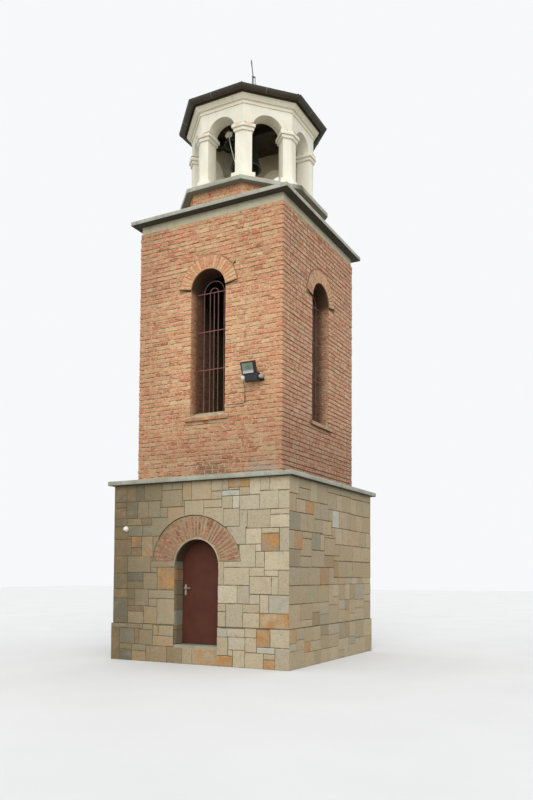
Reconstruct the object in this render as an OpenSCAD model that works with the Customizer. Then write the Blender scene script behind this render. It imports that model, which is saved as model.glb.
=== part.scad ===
// Bell tower: square stone storey, tall brick shaft, octagonal arcaded belfry.
// Millimetres. The origin is at ground level on the tower's vertical axis,
// the door faces -Y and +Z is up.

/* [Stone storey] */
// Outer width of the stone storey
stone_w = 3500; // [3000:10:4200]
// Thickness of the stone walls
stone_t = 400; // [320:10:500]
// Height of the stone storey up to the concrete band
stone_h = 3060; // [2900:10:3400]
// How far the plinth stands out of the stone wall
plinth_out = 20; // [10:1:40]
// Height of the plinth
plinth_h = 635; // [450:5:800]
// Height of the inner floor above the paving
floor_h = 270; // [150:5:400]

/* [Doorway] */
// Clear width of the arched doorway
door_w = 880; // [700:10:1000]
// Height of the centre of the door arch
door_axis_h = 1645; // [1500:5:1750]
// Level at which the brick ring of the door arch ends
door_ring_foot = 1718; // [1700:1:1800]
// Width of the brick ring round the door arch
door_ring_w = 420; // [250:5:450]
// How much the ring's crown is pressed flat and its feet spread
door_ring_flat = 25; // [0:1:40]
// How far the ring leans to the left of the doorway's middle
door_ring_lean = 32; // [0:1:50]
// Depth of the stone reveal in front of the door
door_reveal = 250; // [180:5:280]
// Extra width of the inner opening on each side
rebate_side = 70; // [62:1:100]
// Extra height of the inner opening above the arch
rebate_head = 130; // [80:5:200]
// Thickness of the threshold slab
threshold_t = 40; // [25:1:60]

/* [Door] */
// Depth of the steel door frame and of the leaf
leaf_t = 40; // [30:1:50]
// Width of the frame's flat bar beside the leaf
frame_w = 55; // [40:1:60]
// Gap between the leaf and its frame
leaf_gap = 6; // [5:0.5:8]
// Thickness of the leaf's sheet steel face
leaf_skin = 4; // [3:0.5:8]
// Width of the tubes round the back of the leaf
leaf_rail = 60; // [40:1:90]
// Radius of the hinge knuckles
knuckle_r = 11; // [9:0.5:14]
// Height of each hinge knuckle
knuckle_h = 50; // [30:1:80]
// Gap between the knuckles and the back of the leaf
hinge_gap = 2; // [1:0.5:4]
// Radius of the hinge pins
hinge_pin_r = 5; // [4:0.1:6]
// Height of the lock spindle above the leaf's foot
handle_h = 940; // [850:5:1050]
// Length of the lever handle
lever_l = 115; // [90:1:130]
// Distance of the levers from the faces of the leaf
lever_reach = 38; // [30:1:50]

/* [Concrete band] */
// How far the band stands out of the stone wall
band_out = 92; // [60:1:120]
// Thickness of the band slab
band_t = 75; // [60:1:120]

/* [Brick shaft] */
// Outer width of the brick shaft
shaft_w = 2930; // [2700:10:3200]
// Thickness of the brick walls
shaft_t = 380; // [380:5:420]
// Height of the bare brickwork
shaft_h = 4545; // [4450:5:5000]

/* [Windows] */
// Clear width of each window
window_w = 708; // [500:4:760]
// Height of the window's inner foot above the band
window_foot = 1185; // [1100:5:1400]
// Height of the window arch's centre above the band
window_axis_h = 3300; // [3000:5:3350]
// Width of the brick ring round the window arch
window_ring_w = 236; // [150:2:250]
// How far the brick ring stands out of the wall
window_ring_out = 15; // [5:1:30]
// Height above the arch's centre at which the ring ends
window_ring_foot = 35; // [0:1:60]
// How far the sill stands out of the wall
sill_out = 52; // [30:1:80]
// Height of the sill's nose
sill_nose = 58; // [40:1:80]
// Height of the sill's slope from nose to grille
sill_rise = 120; // [80:1:160]
// How far the sill runs past the window on each side
sill_side = 86; // [40:1:120]
// Depth of the window reveal in front of the grille
grille_depth = 190; // [150:1:270]
// Size of the square grille bars
grille_bar = 11; // [10:1:26]
// Distance of the outer uprights from the window's middle
grille_outer = 206; // [180:2:240]
// Distance of the inner uprights from the window's middle
grille_inner = 85; // [70:1:110]
// Height of the lowest grille rail above the band
grille_low = 1940; // [1800:5:2100]
// Height between the grille rails
grille_step = 680; // [600:5:750]

/* [Frieze and cornice] */
// Height of the rendered frieze
frieze_h = 143; // [100:1:200]
// How far the frieze stands back from the brick face
frieze_in = 10; // [0:1:30]
// How far the cornice slab stands out of the brick face
cornice_out = 137; // [100:1:200]
// Thickness of the cornice slab at its edge
cornice_t = 75; // [60:1:100]
// Rise of the cornice slab's sloping top
cornice_fall = 35; // [15:1:60]

/* [Octagonal drum and floor] */
// Distance of the drum's faces from the axis
drum_ap = 1220; // [1150:1:1260]
// Thickness of the drum's brick wall
drum_t = 380; // [250:5:400]
// Height of the drum up to the belfry floor
drum_h = 420; // [350:5:500]
// Distance of the belfry floor's edges from the axis
floor_ap = 1348; // [1290:1:1400]
// Thickness of the belfry floor slab
belfry_floor_t = 75; // [60:1:120]

/* [Belfry] */
// Distance of the arcade's outer faces from the axis
arcade_ap = 1090; // [1050:1:1110]
// Thickness of the arcade
arcade_t = 265; // [220:1:300]
// Clear width of each belfry arch
arch_w = 570; // [480:2:600]
// Height of the pier base blocks
base_h = 200; // [170:1:240]
// Overhang of base blocks and capitals
capital_out = 50; // [30:1:60]
// Height from the belfry floor to the capital tops
pier_h = 1090; // [950:5:1200]
// Height of a capital
capital_h = 130; // [80:1:150]
// How far the arch centres lie below the capital tops
arch_drop = 68; // [20:1:80]
// Height from the capital tops to the lower moulding
arcade_wall_h = 352; // [330:1:420]
// Projection of the lower moulding
mould_out = 18; // [10:1:30]
// Height of the lower moulding
mould_h = 58; // [40:1:80]
// Projection of the upper moulding at its foot
cove_out = 50; // [40:1:60]
// Projection of the upper moulding at its top
cove_top_out = 107; // [90:1:107]
// Height of the upper moulding's slope
cove_h = 88; // [60:1:110]
// Height of the plain eaves band over the mouldings
eaves_h = 50; // [30:1:80]
// Height of the brick kerb between the piers
kerb_h = 168; // [120:1:200]
// Thickness of the brick kerb
kerb_t = 120; // [100:1:200]
// How far the kerb stands back from the arcade's outer faces
kerb_in = 30; // [0:1:80]

/* [Roof] */
// Thickness of the ceiling slab
ceiling_t = 60; // [50:1:100]
// Distance of the gutter's outer rim from the axis
gutter_ap = 1327; // [1320:1:1400]
// Radius of the half-round gutter
gutter_r = 65; // [50:1:65]
// Thickness of the gutter's metal
gutter_skin = 3; // [2:0.5:5]
// Rise of the low octagonal roof
roof_rise = 440; // [300:10:520]
// Height of the cross above the roof's apex
cross_h = 930; // [800:10:1100]
// Half length of the cross's arms
cross_arm = 230; // [150:5:280]
// Height of the arms above the roof's apex
cross_arm_h = 737; // [600:1:850]
// Turn of the cross's arms from the door's line of sight
cross_turn = 25; // [0:1:45]
// Lean of the cross's bar from the upright
cross_lean = 4; // [0:0.5:8]
// Width of the cross's flat bars
cross_bar = 34; // [18:1:40]

/* [Bells] */
// Radius of the great bell's lip
bell_r = 300; // [200:5:320]
// Height of the great bell from its lip to its head
bell_h = 470; // [400:5:500]
// Distance of the great bell from the tower's axis, along X
bell_x = -140; // [-200:5:0]
// Size of the square beam that carries the great bell
beam_s = 140; // [100:5:180]
// Radius of the small bell's lip
small_bell_r = 200; // [180:5:250]
// Height of the small bell from its lip to its head
small_bell_h = 360; // [300:5:380]
// Distance of the small bell from the tower's axis, along X
small_bell_x = -90; // [-200:5:0]
// Distance of the small bell from the tower's axis, towards the door side
small_bell_y = 494; // [440:2:500]
// Size of the square beam that carries the small bell
small_beam_s = 100; // [80:5:140]

/* [Fittings on the walls] */
// Distance of the floodlight's middle from the tower's axis
flood_x = 925; // [700:5:1000]
// Height of the foot of the floodlight's head above the band
flood_z = 1666; // [1500:2:2000]
// Width of the floodlight's head
flood_w = 248; // [180:2:300]
// Height of the floodlight's head
flood_h = 209; // [150:1:260]
// Depth of the floodlight's head
flood_d = 80; // [60:1:120]
// Distance from the wall to the front of the floodlight's gear box
flood_reach = 175; // [150:5:240]
// Tilt of the floodlight's head towards the ground
flood_tilt = 20; // [0:1:35]
// Height of the gear box under the head
gear_h = 118; // [80:1:150]
// Distance of the cable's upright run from the tower's axis
cable_x = 760; // [650:5:800]
// Height of the cable's level run above the sill's slope
cable_rise = 45; // [30:1:100]
// Distance of the small lamp from the tower's axis
lamp_x = 1480; // [1200:10:1550]
// Height of the small lamp above the ground
lamp_z = 2286; // [2000:2:2500]
// Radius of the small lamp
lamp_r = 48; // [30:1:60]

/* [Hidden] */
eps = 0.01;
round_fn = 64;
fine_fn = 32;
oct = 22.5;
half_stone = stone_w / 2;
band_z = stone_h;
shaft_z = band_z + band_t;
half_shaft = shaft_w / 2;
frieze_z = shaft_z + shaft_h;
cornice_z = frieze_z + frieze_h;
cornice_edge = half_shaft + cornice_out;
drum_z = cornice_z + cornice_t;
belfry_floor_z = drum_z + drum_h;
belfry_z = belfry_floor_z + belfry_floor_t;
capital_top_z = belfry_z + pier_h;
arch_axis_z = capital_top_z - arch_drop;
mould_z = capital_top_z + arcade_wall_h;
cove_z = mould_z + mould_h;
eaves_z = cove_z + cove_h;
ceiling_z = eaves_z + eaves_h;
roof_z = ceiling_z + ceiling_t;
ceiling_ap = gutter_ap - 2 * gutter_r;
roof_ap = gutter_ap - gutter_r;
gutter_lift = 14;
gutter_top_z = ceiling_z + gutter_lift;
apex_z = roof_z + roof_rise;
door_r = door_w / 2;
ring_r = door_r + door_ring_w;
ring_points = 72;
leaf_y = -half_stone + door_reveal;
leaf_r = door_r - leaf_gap;
threshold_top_z = floor_h + threshold_t;
leaf_foot_gap = 8;
leaf_foot_z = threshold_top_z + leaf_foot_gap;
rebate_half = door_r + rebate_side;
rebate_top_z = door_axis_h + door_r + rebate_head;
hinge_x = door_r - leaf_gap / 2;
hinge_y = leaf_y + leaf_t + knuckle_r + hinge_gap;
hinge_plate_w = 33;
hinge_rise = 230;
hinge_drop = 110;
hinge_levels = [leaf_foot_z + hinge_rise, door_axis_h - hinge_drop];
knuckle_gap = 1;
bore_play = 0.08;
handle_inset = 55;
handle_x = -leaf_r + handle_inset;
handle_z = leaf_foot_z + handle_h;
spindle_r = 5;
lock_w = 40;
lock_h = 180;
lock_proud = 3;
lock_over = lock_h / 3;
lever_r = 9;
hub_r = 11;
window_r = window_w / 2;
window_ring_r = window_r + window_ring_w;
window_axis_z = shaft_z + window_axis_h;
window_foot_z = shaft_z + window_foot;
sill_top_z = window_foot_z - sill_rise;
sill_foot_z = sill_top_z - sill_nose;
beam_z = ceiling_z - beam_s;
capital_slab_h = capital_h * 0.55;
canon_h = 90;
bell_head_z = beam_z - canon_h;
bell_profile = [[1, 0], [0.97, 0.07], [0.88, 0.22], [0.8, 0.45], [0.74, 0.7],
    [0.68, 0.88], [0.55, 0.97], [0.3, 1]];
clapper_drop = 62;
clapper_pin_r = 6;
clapper_eye_r = 16;
clapper_rod_r = 8;
lug_t = 12;
lug_gap = 22;
small_canon_h = 50;
small_head_z = ceiling_z - small_beam_s - small_canon_h;
roof_cap_r = 30;
cross_t = 14;
cross_foot_r = 45;
cross_pole_r = 16;
cross_pole_h = 620;
cross_hook = 52;
cross_hook_l = 130;
seat = 0.1;
cable_r = 4;
yoke_r = 20;
yoke_back = 60;
gear_shift = 45;
gear_d = 96;
gear_side = 4;
lamp_foot_t = 25;
lamp_seat = 5;
lamp_glass_r = lamp_r - 3;

// Octagon whose faces lie at the given distance from the axis
module octagon(ap) {
    rotate(oct) circle(r = ap / cos(oct), $fn = 8);
}

module octagon_block(ap, h) {
    linear_extrude(h) octagon(ap);
}

// Upright wall outline (width, height) laid in the XZ plane and given a thickness towards +Y
module upright(t) {
    translate([0, t, 0]) rotate([90, 0, 0]) linear_extrude(t) children();
}

// One straight stone wall with its projecting plinth; runs along X, outer face at y = 0
module stone_run(x0, x1, z1, plinth_x0, plinth_x1) {
    translate([x0, 0, 0]) cube([x1 - x0, stone_t, z1]);
    translate([plinth_x0, -plinth_out, 0])
        cube([plinth_x1 - plinth_x0, stone_t + plinth_out, plinth_h]);
}

// Distance of the door ring's outer edge from the arch's centre, at the angle a from +X:
// the ring is laid by hand, with a flattened crown, spread feet and a fuller left haunch
function ring_edge(a) = ring_r + door_ring_flat * cos(2 * a)
    - door_ring_lean * (cos(a) - cos(3 * a) / 3);

module ring_outline() {
    translate([0, door_axis_h]) polygon([for (i = [0 : ring_points - 1])
        let (a = 360 * i / ring_points) ring_edge(a) * [cos(a), sin(a)]]);
}

// Part of the front wall beside the door; the reveal is narrower than the inner opening
module front_pier() {
    difference() {
        translate([0, -half_stone, 0])
            stone_run(door_r, half_stone, door_ring_foot, door_r, half_stone + plinth_out);
        translate([0, leaf_y, floor_h])
            cube([rebate_half, stone_t, stone_h]);
    }
}

module stone_wall_front_left() {
    color("tan") mirror([1, 0, 0]) front_pier();
}

module stone_wall_front_right() {
    color("tan") front_pier();
}

module stone_wall_over_door() {
    color("tan") difference() {
        translate([-half_stone, -half_stone, door_ring_foot])
            cube([stone_w, stone_t, stone_h - door_ring_foot]);
        translate([0, -half_stone - eps, 0]) upright(door_reveal + eps) ring_outline();
        translate([-rebate_half, leaf_y, 0])
            cube([2 * rebate_half, stone_t, rebate_top_z]);
    }
}

// Plain wall of the given half length, with its plinth reaching out to half_plinth
module stone_wall(half_len, half_plinth) {
    color("tan") translate([0, -half_stone, 0])
        stone_run(-half_len, half_len, stone_h, -half_plinth, half_plinth);
}

module stone_wall_right() {
    rotate(90) stone_wall(half_stone - stone_t, half_stone - stone_t);
}

module stone_wall_left() {
    rotate(-90) stone_wall(half_stone - stone_t, half_stone - stone_t);
}

module stone_wall_back() {
    rotate(180) stone_wall(half_stone, half_stone + plinth_out);
}

module ground_floor() {
    inner = half_stone - stone_t;
    color("gray") translate([-inner, -inner, 0])
        cube([2 * inner, 2 * inner, floor_h]);
}

// Stone slab on a step between the front piers, under the door
module door_threshold() {
    color("silver") {
        translate([-door_r, -half_stone - plinth_out, 0])
            cube([door_w, stone_t + plinth_out, floor_h]);
        translate([-door_r, -half_stone - plinth_out, floor_h - eps])
            cube([door_w, door_reveal + plinth_out + leaf_t, threshold_t + eps]);
    }
}

// Brick voussoirs round the head of the doorway
module door_arch_ring() {
    color("indianred") translate([0, -half_stone, 0]) upright(door_reveal)
        difference() {
            intersection() {
                ring_outline();
                translate([-half_stone, door_ring_foot]) square([stone_w, stone_h]);
            }
            translate([0, door_axis_h]) circle(r = door_r, $fn = round_fn);
        }
}

// Outline of an arched panel: half width r, foot at z0, arch centre at zc
module arched(r, z0, zc) {
    translate([-r, z0]) square([2 * r, zc - z0]);
    translate([0, zc]) circle(r = r, $fn = round_fn);
}

// Knuckle of a hinge, with its plate towards +X (side 1) or towards -X (side -1)
module knuckle(side, z) {
    translate([hinge_x, hinge_y, z]) cylinder(r = knuckle_r, h = knuckle_h, $fn = fine_fn);
    translate([hinge_x + (side > 0 ? 0 : -hinge_plate_w), leaf_y + leaf_t, z])
        cube([hinge_plate_w, knuckle_r, knuckle_h]);
}

// Steel frame against the back of the reveal, with the lower knuckles and the pins
module door_frame() {
    color("saddlebrown") {
        translate([0, leaf_y, 0]) upright(leaf_t) difference() {
            arched(door_r + frame_w, threshold_top_z, door_axis_h);
            translate([0, -eps]) arched(door_r, threshold_top_z, door_axis_h);
        }
        for (z = hinge_levels) {
            knuckle(1, z);
            translate([hinge_x, hinge_y, z])
                cylinder(r = hinge_pin_r, h = 2 * knuckle_h, $fn = fine_fn);
        }
    }
}

// Sheet steel face on a tube frame, with the upper knuckles and the lock plates
module door_leaf() {
    mid_z = (leaf_foot_z + door_axis_h) / 2;
    color("sienna") difference() {
        union() {
            difference() {
                translate([0, leaf_y, 0]) upright(leaf_t)
                    arched(leaf_r, leaf_foot_z, door_axis_h);
                translate([0, leaf_y + leaf_skin, 0]) upright(leaf_t) difference() {
                    arched(leaf_r - leaf_rail, leaf_foot_z + leaf_rail, door_axis_h);
                    translate([-leaf_r, mid_z]) square([2 * leaf_r, leaf_rail]);
                    translate([handle_x - leaf_rail, handle_z - leaf_rail])
                        square([2 * leaf_rail, 2 * leaf_rail]);
                }
            }
            for (z = hinge_levels) knuckle(-1, z + knuckle_h + knuckle_gap);
            translate([handle_x - lock_w / 2, leaf_y - lock_proud, handle_z + lock_over - lock_h])
                cube([lock_w, leaf_t + 2 * lock_proud, lock_h]);
        }
        for (z = hinge_levels)
            translate([hinge_x, hinge_y, z + knuckle_h])
                cylinder(r = hinge_pin_r + bore_play, h = 2 * knuckle_h, $fn = fine_fn);
        translate([handle_x, leaf_y - leaf_t, handle_z]) rotate([-90, 0, 0])
            cylinder(r = spindle_r + bore_play, h = 3 * leaf_t, $fn = fine_fn);
    }
}

// Spindle through the lock with a lever on each face
module door_handle() {
    color("silver") {
        translate([handle_x, leaf_y - lever_reach, handle_z]) rotate([-90, 0, 0])
            cylinder(r = spindle_r, h = leaf_t + 2 * lever_reach, $fn = fine_fn);
        for (y = [leaf_y - lever_reach, leaf_y + leaf_t + lever_reach])
            translate([handle_x, y, handle_z]) {
                rotate([0, 90, 0]) cylinder(r = lever_r, h = lever_l, $fn = fine_fn);
                rotate([90, 0, 0]) translate([0, 0, -lever_r])
                    cylinder(r = hub_r, h = 2 * lever_r, $fn = fine_fn);
            }
    }
}

module band_slab() {
    edge = half_stone + band_out;
    color("lightgray") translate([-edge, -edge, band_z])
        cube([2 * edge, 2 * edge, band_t]);
}

// Brick wall with an arched window, a proud ring of bricks and a sloping sill
module brick_wall(half_len) {
    color("indianred") {
        difference() {
            translate([-half_len, -half_shaft, shaft_z])
                cube([2 * half_len, shaft_t, shaft_h]);
            translate([0, -half_shaft - eps, 0]) upright(shaft_t + 1)
                arched(window_r, window_foot_z, window_axis_z);
            translate([-window_r, -half_shaft - eps, sill_foot_z])
                cube([window_w, grille_depth, window_foot_z - sill_foot_z + eps]);
        }
        translate([0, -half_shaft - window_ring_out, 0]) upright(window_ring_out + eps)
            intersection() {
                translate([0, window_axis_z]) difference() {
                    circle(r = window_ring_r, $fn = round_fn);
                    circle(r = window_r, $fn = round_fn);
                }
                translate([-window_ring_r, window_axis_z + window_ring_foot])
                    square([2 * window_ring_r, window_ring_r]);
            }
        sill();
    }
}

// Bricks on edge, sloping outwards from the grille
module sill() {
    half = window_r + sill_side;
    y0 = -half_shaft - sill_out;
    y1 = -half_shaft + grille_depth;
    translate([-half, 0, 0]) rotate([90, 0, 90]) linear_extrude(2 * half)
        polygon([[y0, sill_foot_z], [-half_shaft + eps, sill_foot_z],
            [-half_shaft + eps, sill_top_z + sill_rise * sill_out / (y1 - y0)],
            [y0, sill_top_z]]);
    translate([-window_r, 0, 0]) rotate([90, 0, 90]) linear_extrude(window_w)
        polygon([[-half_shaft, sill_foot_z], [y1, sill_foot_z], [y1, window_foot_z],
            [-half_shaft, sill_top_z + sill_rise * sill_out / (y1 - y0)]]);
}

module brick_wall_front() {
    brick_wall(half_shaft);
}

module brick_wall_back() {
    rotate(180) brick_wall(half_shaft);
}

module brick_wall_right() {
    rotate(90) brick_wall(half_shaft - shaft_t);
}

module brick_wall_left() {
    rotate(-90) brick_wall(half_shaft - shaft_t);
}

// Window grille of uprights through three rails, with a small and a large hoop at the head
module window_grille() {
    top_z = shaft_z + grille_low + 2 * grille_step;
    module hoop(r) {
        translate([0, top_z]) intersection() {
            difference() {
                circle(r = r + grille_bar / 2, $fn = round_fn);
                circle(r = r - grille_bar / 2, $fn = round_fn);
            }
            translate([-window_w, 0]) square([2 * window_w, window_w]);
        }
    }
    color("firebrick") translate([0, grille_depth - half_shaft, 0]) upright(grille_bar)
        intersection() {
            arched(window_r - seat, window_foot_z, window_axis_z);
            union() {
                for (x = [-grille_outer, -grille_inner, 0, grille_inner, grille_outer])
                    translate([x - grille_bar / 2, window_foot_z])
                        square([grille_bar, top_z - window_foot_z + grille_bar]);
                for (i = [0 : 2])
                    translate([-window_r, shaft_z + grille_low + i * grille_step])
                        square([window_w, grille_bar]);
                hoop(grille_inner);
                hoop(grille_outer);
            }
        }
}

module frieze() {
    half = half_shaft - frieze_in;
    inner = half_shaft - shaft_t;
    color("gainsboro") translate([0, 0, frieze_z]) linear_extrude(frieze_h) difference() {
        square(2 * half, center = true);
        square(2 * inner, center = true);
    }
}

// Projecting slab whose top falls outwards from the drum
module cornice_slab() {
    module fall_across() {
        translate([0, cornice_edge, cornice_z]) rotate([90, 0, 0])
            linear_extrude(2 * cornice_edge) polygon([
                [-cornice_edge, 0], [cornice_edge, 0],
                [cornice_edge, cornice_t - cornice_fall], [drum_ap, cornice_t],
                [-drum_ap, cornice_t], [-cornice_edge, cornice_t - cornice_fall]]);
    }
    color("lightgray") intersection() {
        fall_across();
        rotate(90) fall_across();
    }
}

module drum() {
    color("indianred") translate([0, 0, drum_z]) linear_extrude(drum_h) difference() {
        octagon(drum_ap);
        octagon(drum_ap - drum_t);
    }
}

// Floor slab with a low brick kerb between the base blocks of each arch
module belfry_floor() {
    w = arch_w - 2 * capital_out - 2 * seat;
    color("lightgray") {
        translate([0, 0, belfry_floor_z]) octagon_block(floor_ap, belfry_floor_t);
        for (i = [0 : 7]) rotate(45 * i)
            translate([-w / 2, kerb_in - arcade_ap, belfry_z - eps])
                cube([w, kerb_t, kerb_h + eps]);
    }
}

// Plan of the pier at the octagon's first corner, grown by g on its faces and jambs
module pier_plan(g) {
    far = 2 * arcade_ap;
    intersection() {
        difference() {
            octagon(arcade_ap + g);
            octagon(arcade_ap - arcade_t - g);
            for (a = [0, 45]) rotate(a) translate([-arch_w / 2 + g, -far])
                square([arch_w - 2 * g, far]);
        }
        rotate(oct) polygon([[0, 0], [-far * tan(oct), -far], [far * tan(oct), -far]]);
    }
}

// Corner pier with base block and stepped capital
module belfry_pier(i) {
    color("ivory") translate([0, 0, belfry_z]) rotate(45 * (i - 1)) {
        linear_extrude(pier_h - seat) pier_plan(0);
        linear_extrude(base_h) pier_plan(capital_out);
        translate([0, 0, pier_h - capital_h])
            linear_extrude(capital_h - seat) pier_plan(capital_out / 2);
        translate([0, 0, pier_h - capital_slab_h])
            linear_extrude(capital_slab_h - seat) pier_plan(capital_out);
    }
}

// Octagonal wall over the capitals, cut by eight round arches
module belfry_arcade() {
    color("ivory") difference() {
        translate([0, 0, capital_top_z]) linear_extrude(ceiling_z - capital_top_z) difference() {
            octagon(arcade_ap);
            octagon(arcade_ap - arcade_t);
        }
        for (i = [0 : 7]) rotate(45 * i) translate([0, -arcade_ap * 1.1, arch_axis_z])
            rotate([-90, 0, 0]) cylinder(r = arch_w / 2, h = arcade_ap, $fn = round_fn);
    }
}

// Ring of mouldings round the arcade, from the lower fillet to the eaves
module belfry_cornice() {
    function edge(out, z) = [(arcade_ap + out) / cos(oct), z];
    color("wheat") rotate(oct) rotate_extrude($fn = 8) polygon([
        edge(0, mould_z), edge(mould_out, mould_z), edge(mould_out, cove_z),
        edge(cove_out, cove_z), edge(cove_top_out, eaves_z),
        edge(cove_top_out, ceiling_z - seat), edge(0, ceiling_z - seat)]);
}

module belfry_ceiling() {
    color("dimgray") translate([0, 0, ceiling_z]) octagon_block(ceiling_ap, ceiling_t);
}

// Low octagonal roof that drips into the gutter
module roof() {
    color("darkslategray") translate([0, 0, roof_z]) rotate(oct)
        cylinder(r1 = roof_ap / cos(oct), r2 = roof_cap_r / cos(oct), h = roof_rise, $fn = 8);
}

// Half-round gutter, mitred at the eight corners
module gutter() {
    steps = 10;
    function rim(r, a) = [(roof_ap + r * cos(a)) / cos(oct), gutter_top_z + r * sin(a)];
    color("darkslategray") rotate(oct) rotate_extrude($fn = 8)
        polygon(concat(
            [for (i = [0 : steps]) rim(gutter_r, 180 + 180 * i / steps)],
            [for (i = [steps : -1 : 0]) rim(gutter_r - gutter_skin, 180 + 180 * i / steps)]));
}

// Slender metal cross: a pole, and a leaning flat bar with its arms and a bent foot
module roof_cross() {
    bar_z = cross_pole_h - 2 * cross_pole_r;
    color("slategray") translate([0, 0, apex_z]) rotate(cross_turn) {
        cylinder(r = cross_foot_r, h = cross_pole_r, $fn = fine_fn);
        cylinder(r = cross_pole_r, h = cross_pole_h, $fn = fine_fn);
        translate([0, -cross_bar / 2, bar_z]) cube([cross_hook, cross_bar, cross_t]);
        translate([cross_hook - cross_t, -cross_bar / 2, bar_z - cross_hook_l])
            cube([cross_t, cross_bar, cross_hook_l + cross_t]);
        translate([-cross_t / 2, 0, bar_z]) rotate([0, -cross_lean, 0]) {
            translate([0, -cross_bar / 2, 0])
                cube([cross_t, cross_bar, cross_h - bar_z]);
            translate([0, -cross_arm, cross_arm_h - bar_z])
                cube([cross_t, 2 * cross_arm, cross_bar]);
        }
    }
}

// Beam under the ceiling that spans the arcade along X, at the given distance y
module bell_beam(y, size) {
    color("dimgray") intersection() {
        translate([0, 0, ceiling_z - size]) linear_extrude(size) octagon(arcade_ap - arcade_t);
        translate([-arcade_ap, y - size / 2, ceiling_z - size])
            cube([2 * arcade_ap, size, size]);
    }
}

module great_bell_beam() {
    bell_beam(0, beam_s);
}

module small_bell_beam() {
    bell_beam(-small_bell_y, small_beam_s);
}

// Bell with a flared lip, hung by its canons from a beam; its head is at z = 0
module bell_body(r, h, canon) {
    lip_t = r * 0.13;
    lip_h = h * 0.06;
    wall = r * 0.07;
    canon_w = r * 0.3;
    canon_d = r * 0.12;
    above_lip = len(bell_profile) - 1;
    color("darkolivegreen") {
        translate([0, 0, -h]) rotate_extrude($fn = round_fn) polygon(concat(
            [[r - lip_t, 0]],
            [for (p = bell_profile) [r * p[0], h * p[1]]],
            [[0, h], [0, h - wall]],
            [for (i = [above_lip : -1 : 2])
                [r * bell_profile[i][0] - wall, h * bell_profile[i][1] - wall]],
            [[r - lip_t, lip_h]]));
        translate([-canon_w / 2, -canon_d / 2, -eps]) cube([canon_w, canon_d, canon + eps]);
        for (x = [-lug_gap / 2 - lug_t, lug_gap / 2])
            translate([x, -clapper_eye_r, -clapper_drop - clapper_eye_r])
                cube([lug_t, 2 * clapper_eye_r, clapper_drop + clapper_eye_r - wall / 2]);
        translate([-lug_gap / 2 - eps, 0, -clapper_drop]) rotate([0, 90, 0])
            cylinder(r = clapper_pin_r, h = lug_gap + 2 * eps, $fn = fine_fn);
    }
}

// Clapper with an eye on the pin inside the bell's head
module clapper_body(r, h) {
    ball = r * 0.127;
    rod = h - clapper_drop - ball;
    color("black") translate([0, 0, -clapper_drop]) difference() {
        union() {
            translate([-clapper_rod_r, 0, 0]) rotate([0, 90, 0])
                cylinder(r = clapper_eye_r, h = 2 * clapper_rod_r, $fn = fine_fn);
            translate([0, 0, -rod])
                cylinder(r = clapper_rod_r, h = rod - clapper_rod_r, $fn = fine_fn);
            translate([0, 0, -rod]) sphere(r = ball, $fn = fine_fn);
        }
        translate([-clapper_eye_r, 0, 0]) rotate([0, 90, 0])
            cylinder(r = clapper_pin_r + bore_play, h = 2 * clapper_eye_r, $fn = fine_fn);
    }
}

module great_bell() {
    translate([bell_x, 0, bell_head_z]) bell_body(bell_r, bell_h, canon_h);
}

module great_clapper() {
    translate([bell_x, 0, bell_head_z]) clapper_body(bell_r, bell_h);
}

module small_bell() {
    translate([small_bell_x, -small_bell_y, small_head_z])
        bell_body(small_bell_r, small_bell_h, small_canon_h);
}

module small_clapper() {
    translate([small_bell_x, -small_bell_y, small_head_z])
        clapper_body(small_bell_r, small_bell_h);
}

// Floodlight: glazed head over a gear box, held by a yoke on a wall plate
module floodlight() {
    gear_w = flood_w - 2 * gear_side;
    arm_x = gear_shift + flood_w / 2;
    yoke_y = yoke_back - flood_reach;
    plate = 4 * yoke_r;
    color("dimgray") translate([flood_x, -half_shaft, shaft_z + flood_z]) {
        translate([-flood_w / 2, flood_d / 2 - flood_reach, 0]) rotate([flood_tilt, 0, 0])
            translate([0, -flood_d / 2, 0]) cube([flood_w, flood_d, flood_h]);
        translate([gear_shift - flood_w / 2, -flood_reach, -gear_h])
            cube([gear_w, gear_d, gear_h + flood_d * sin(flood_tilt) / 2]);
        translate([gear_shift - flood_w / 2 - 2 * yoke_r, yoke_y, -gear_h / 2])
            rotate([0, 90, 0]) cylinder(r = yoke_r, h = flood_w + 4 * yoke_r, $fn = fine_fn);
        translate([arm_x + yoke_r, yoke_y - yoke_r, -gear_h / 2 - yoke_r])
            cube([yoke_r / 2, yoke_r - yoke_y, 2 * yoke_r]);
        translate([arm_x + 1.5 * yoke_r - plate, -yoke_r / 2, -gear_h / 2 - plate / 2])
            cube([plate, yoke_r / 2, plate]);
    }
}

// Cable clipped to the wall, from the floodlight's yoke to the window reveal
module floodlight_cable() {
    level_z = window_foot_z + cable_rise;
    top_z = shaft_z + flood_z - gear_h / 2 - yoke_r / 2;
    y = -half_shaft - cable_r;
    yoke_y = yoke_back - half_shaft - flood_reach;
    color("black") {
        translate([cable_x, y, level_z]) cylinder(r = cable_r, h = top_z - level_z, $fn = 8);
        translate([window_r, y, level_z]) rotate([0, 90, 0])
            cylinder(r = cable_r, h = cable_x - window_r, $fn = 8);
        translate([cable_x, y, top_z - cable_r]) rotate([90, 0, 0])
            cylinder(r = cable_r, h = y - yoke_y, $fn = 8);
    }
}

module wall_lamp() {
    color("white") translate([-lamp_x, -half_stone, lamp_z]) rotate([90, 0, 0]) {
        cylinder(r = lamp_r, h = lamp_foot_t, $fn = fine_fn);
        translate([0, 0, lamp_foot_t - lamp_seat]) intersection() {
            sphere(r = lamp_glass_r, $fn = fine_fn);
            translate([0, 0, lamp_r]) cube(2 * lamp_r, center = true);
        }
    }
}

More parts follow.
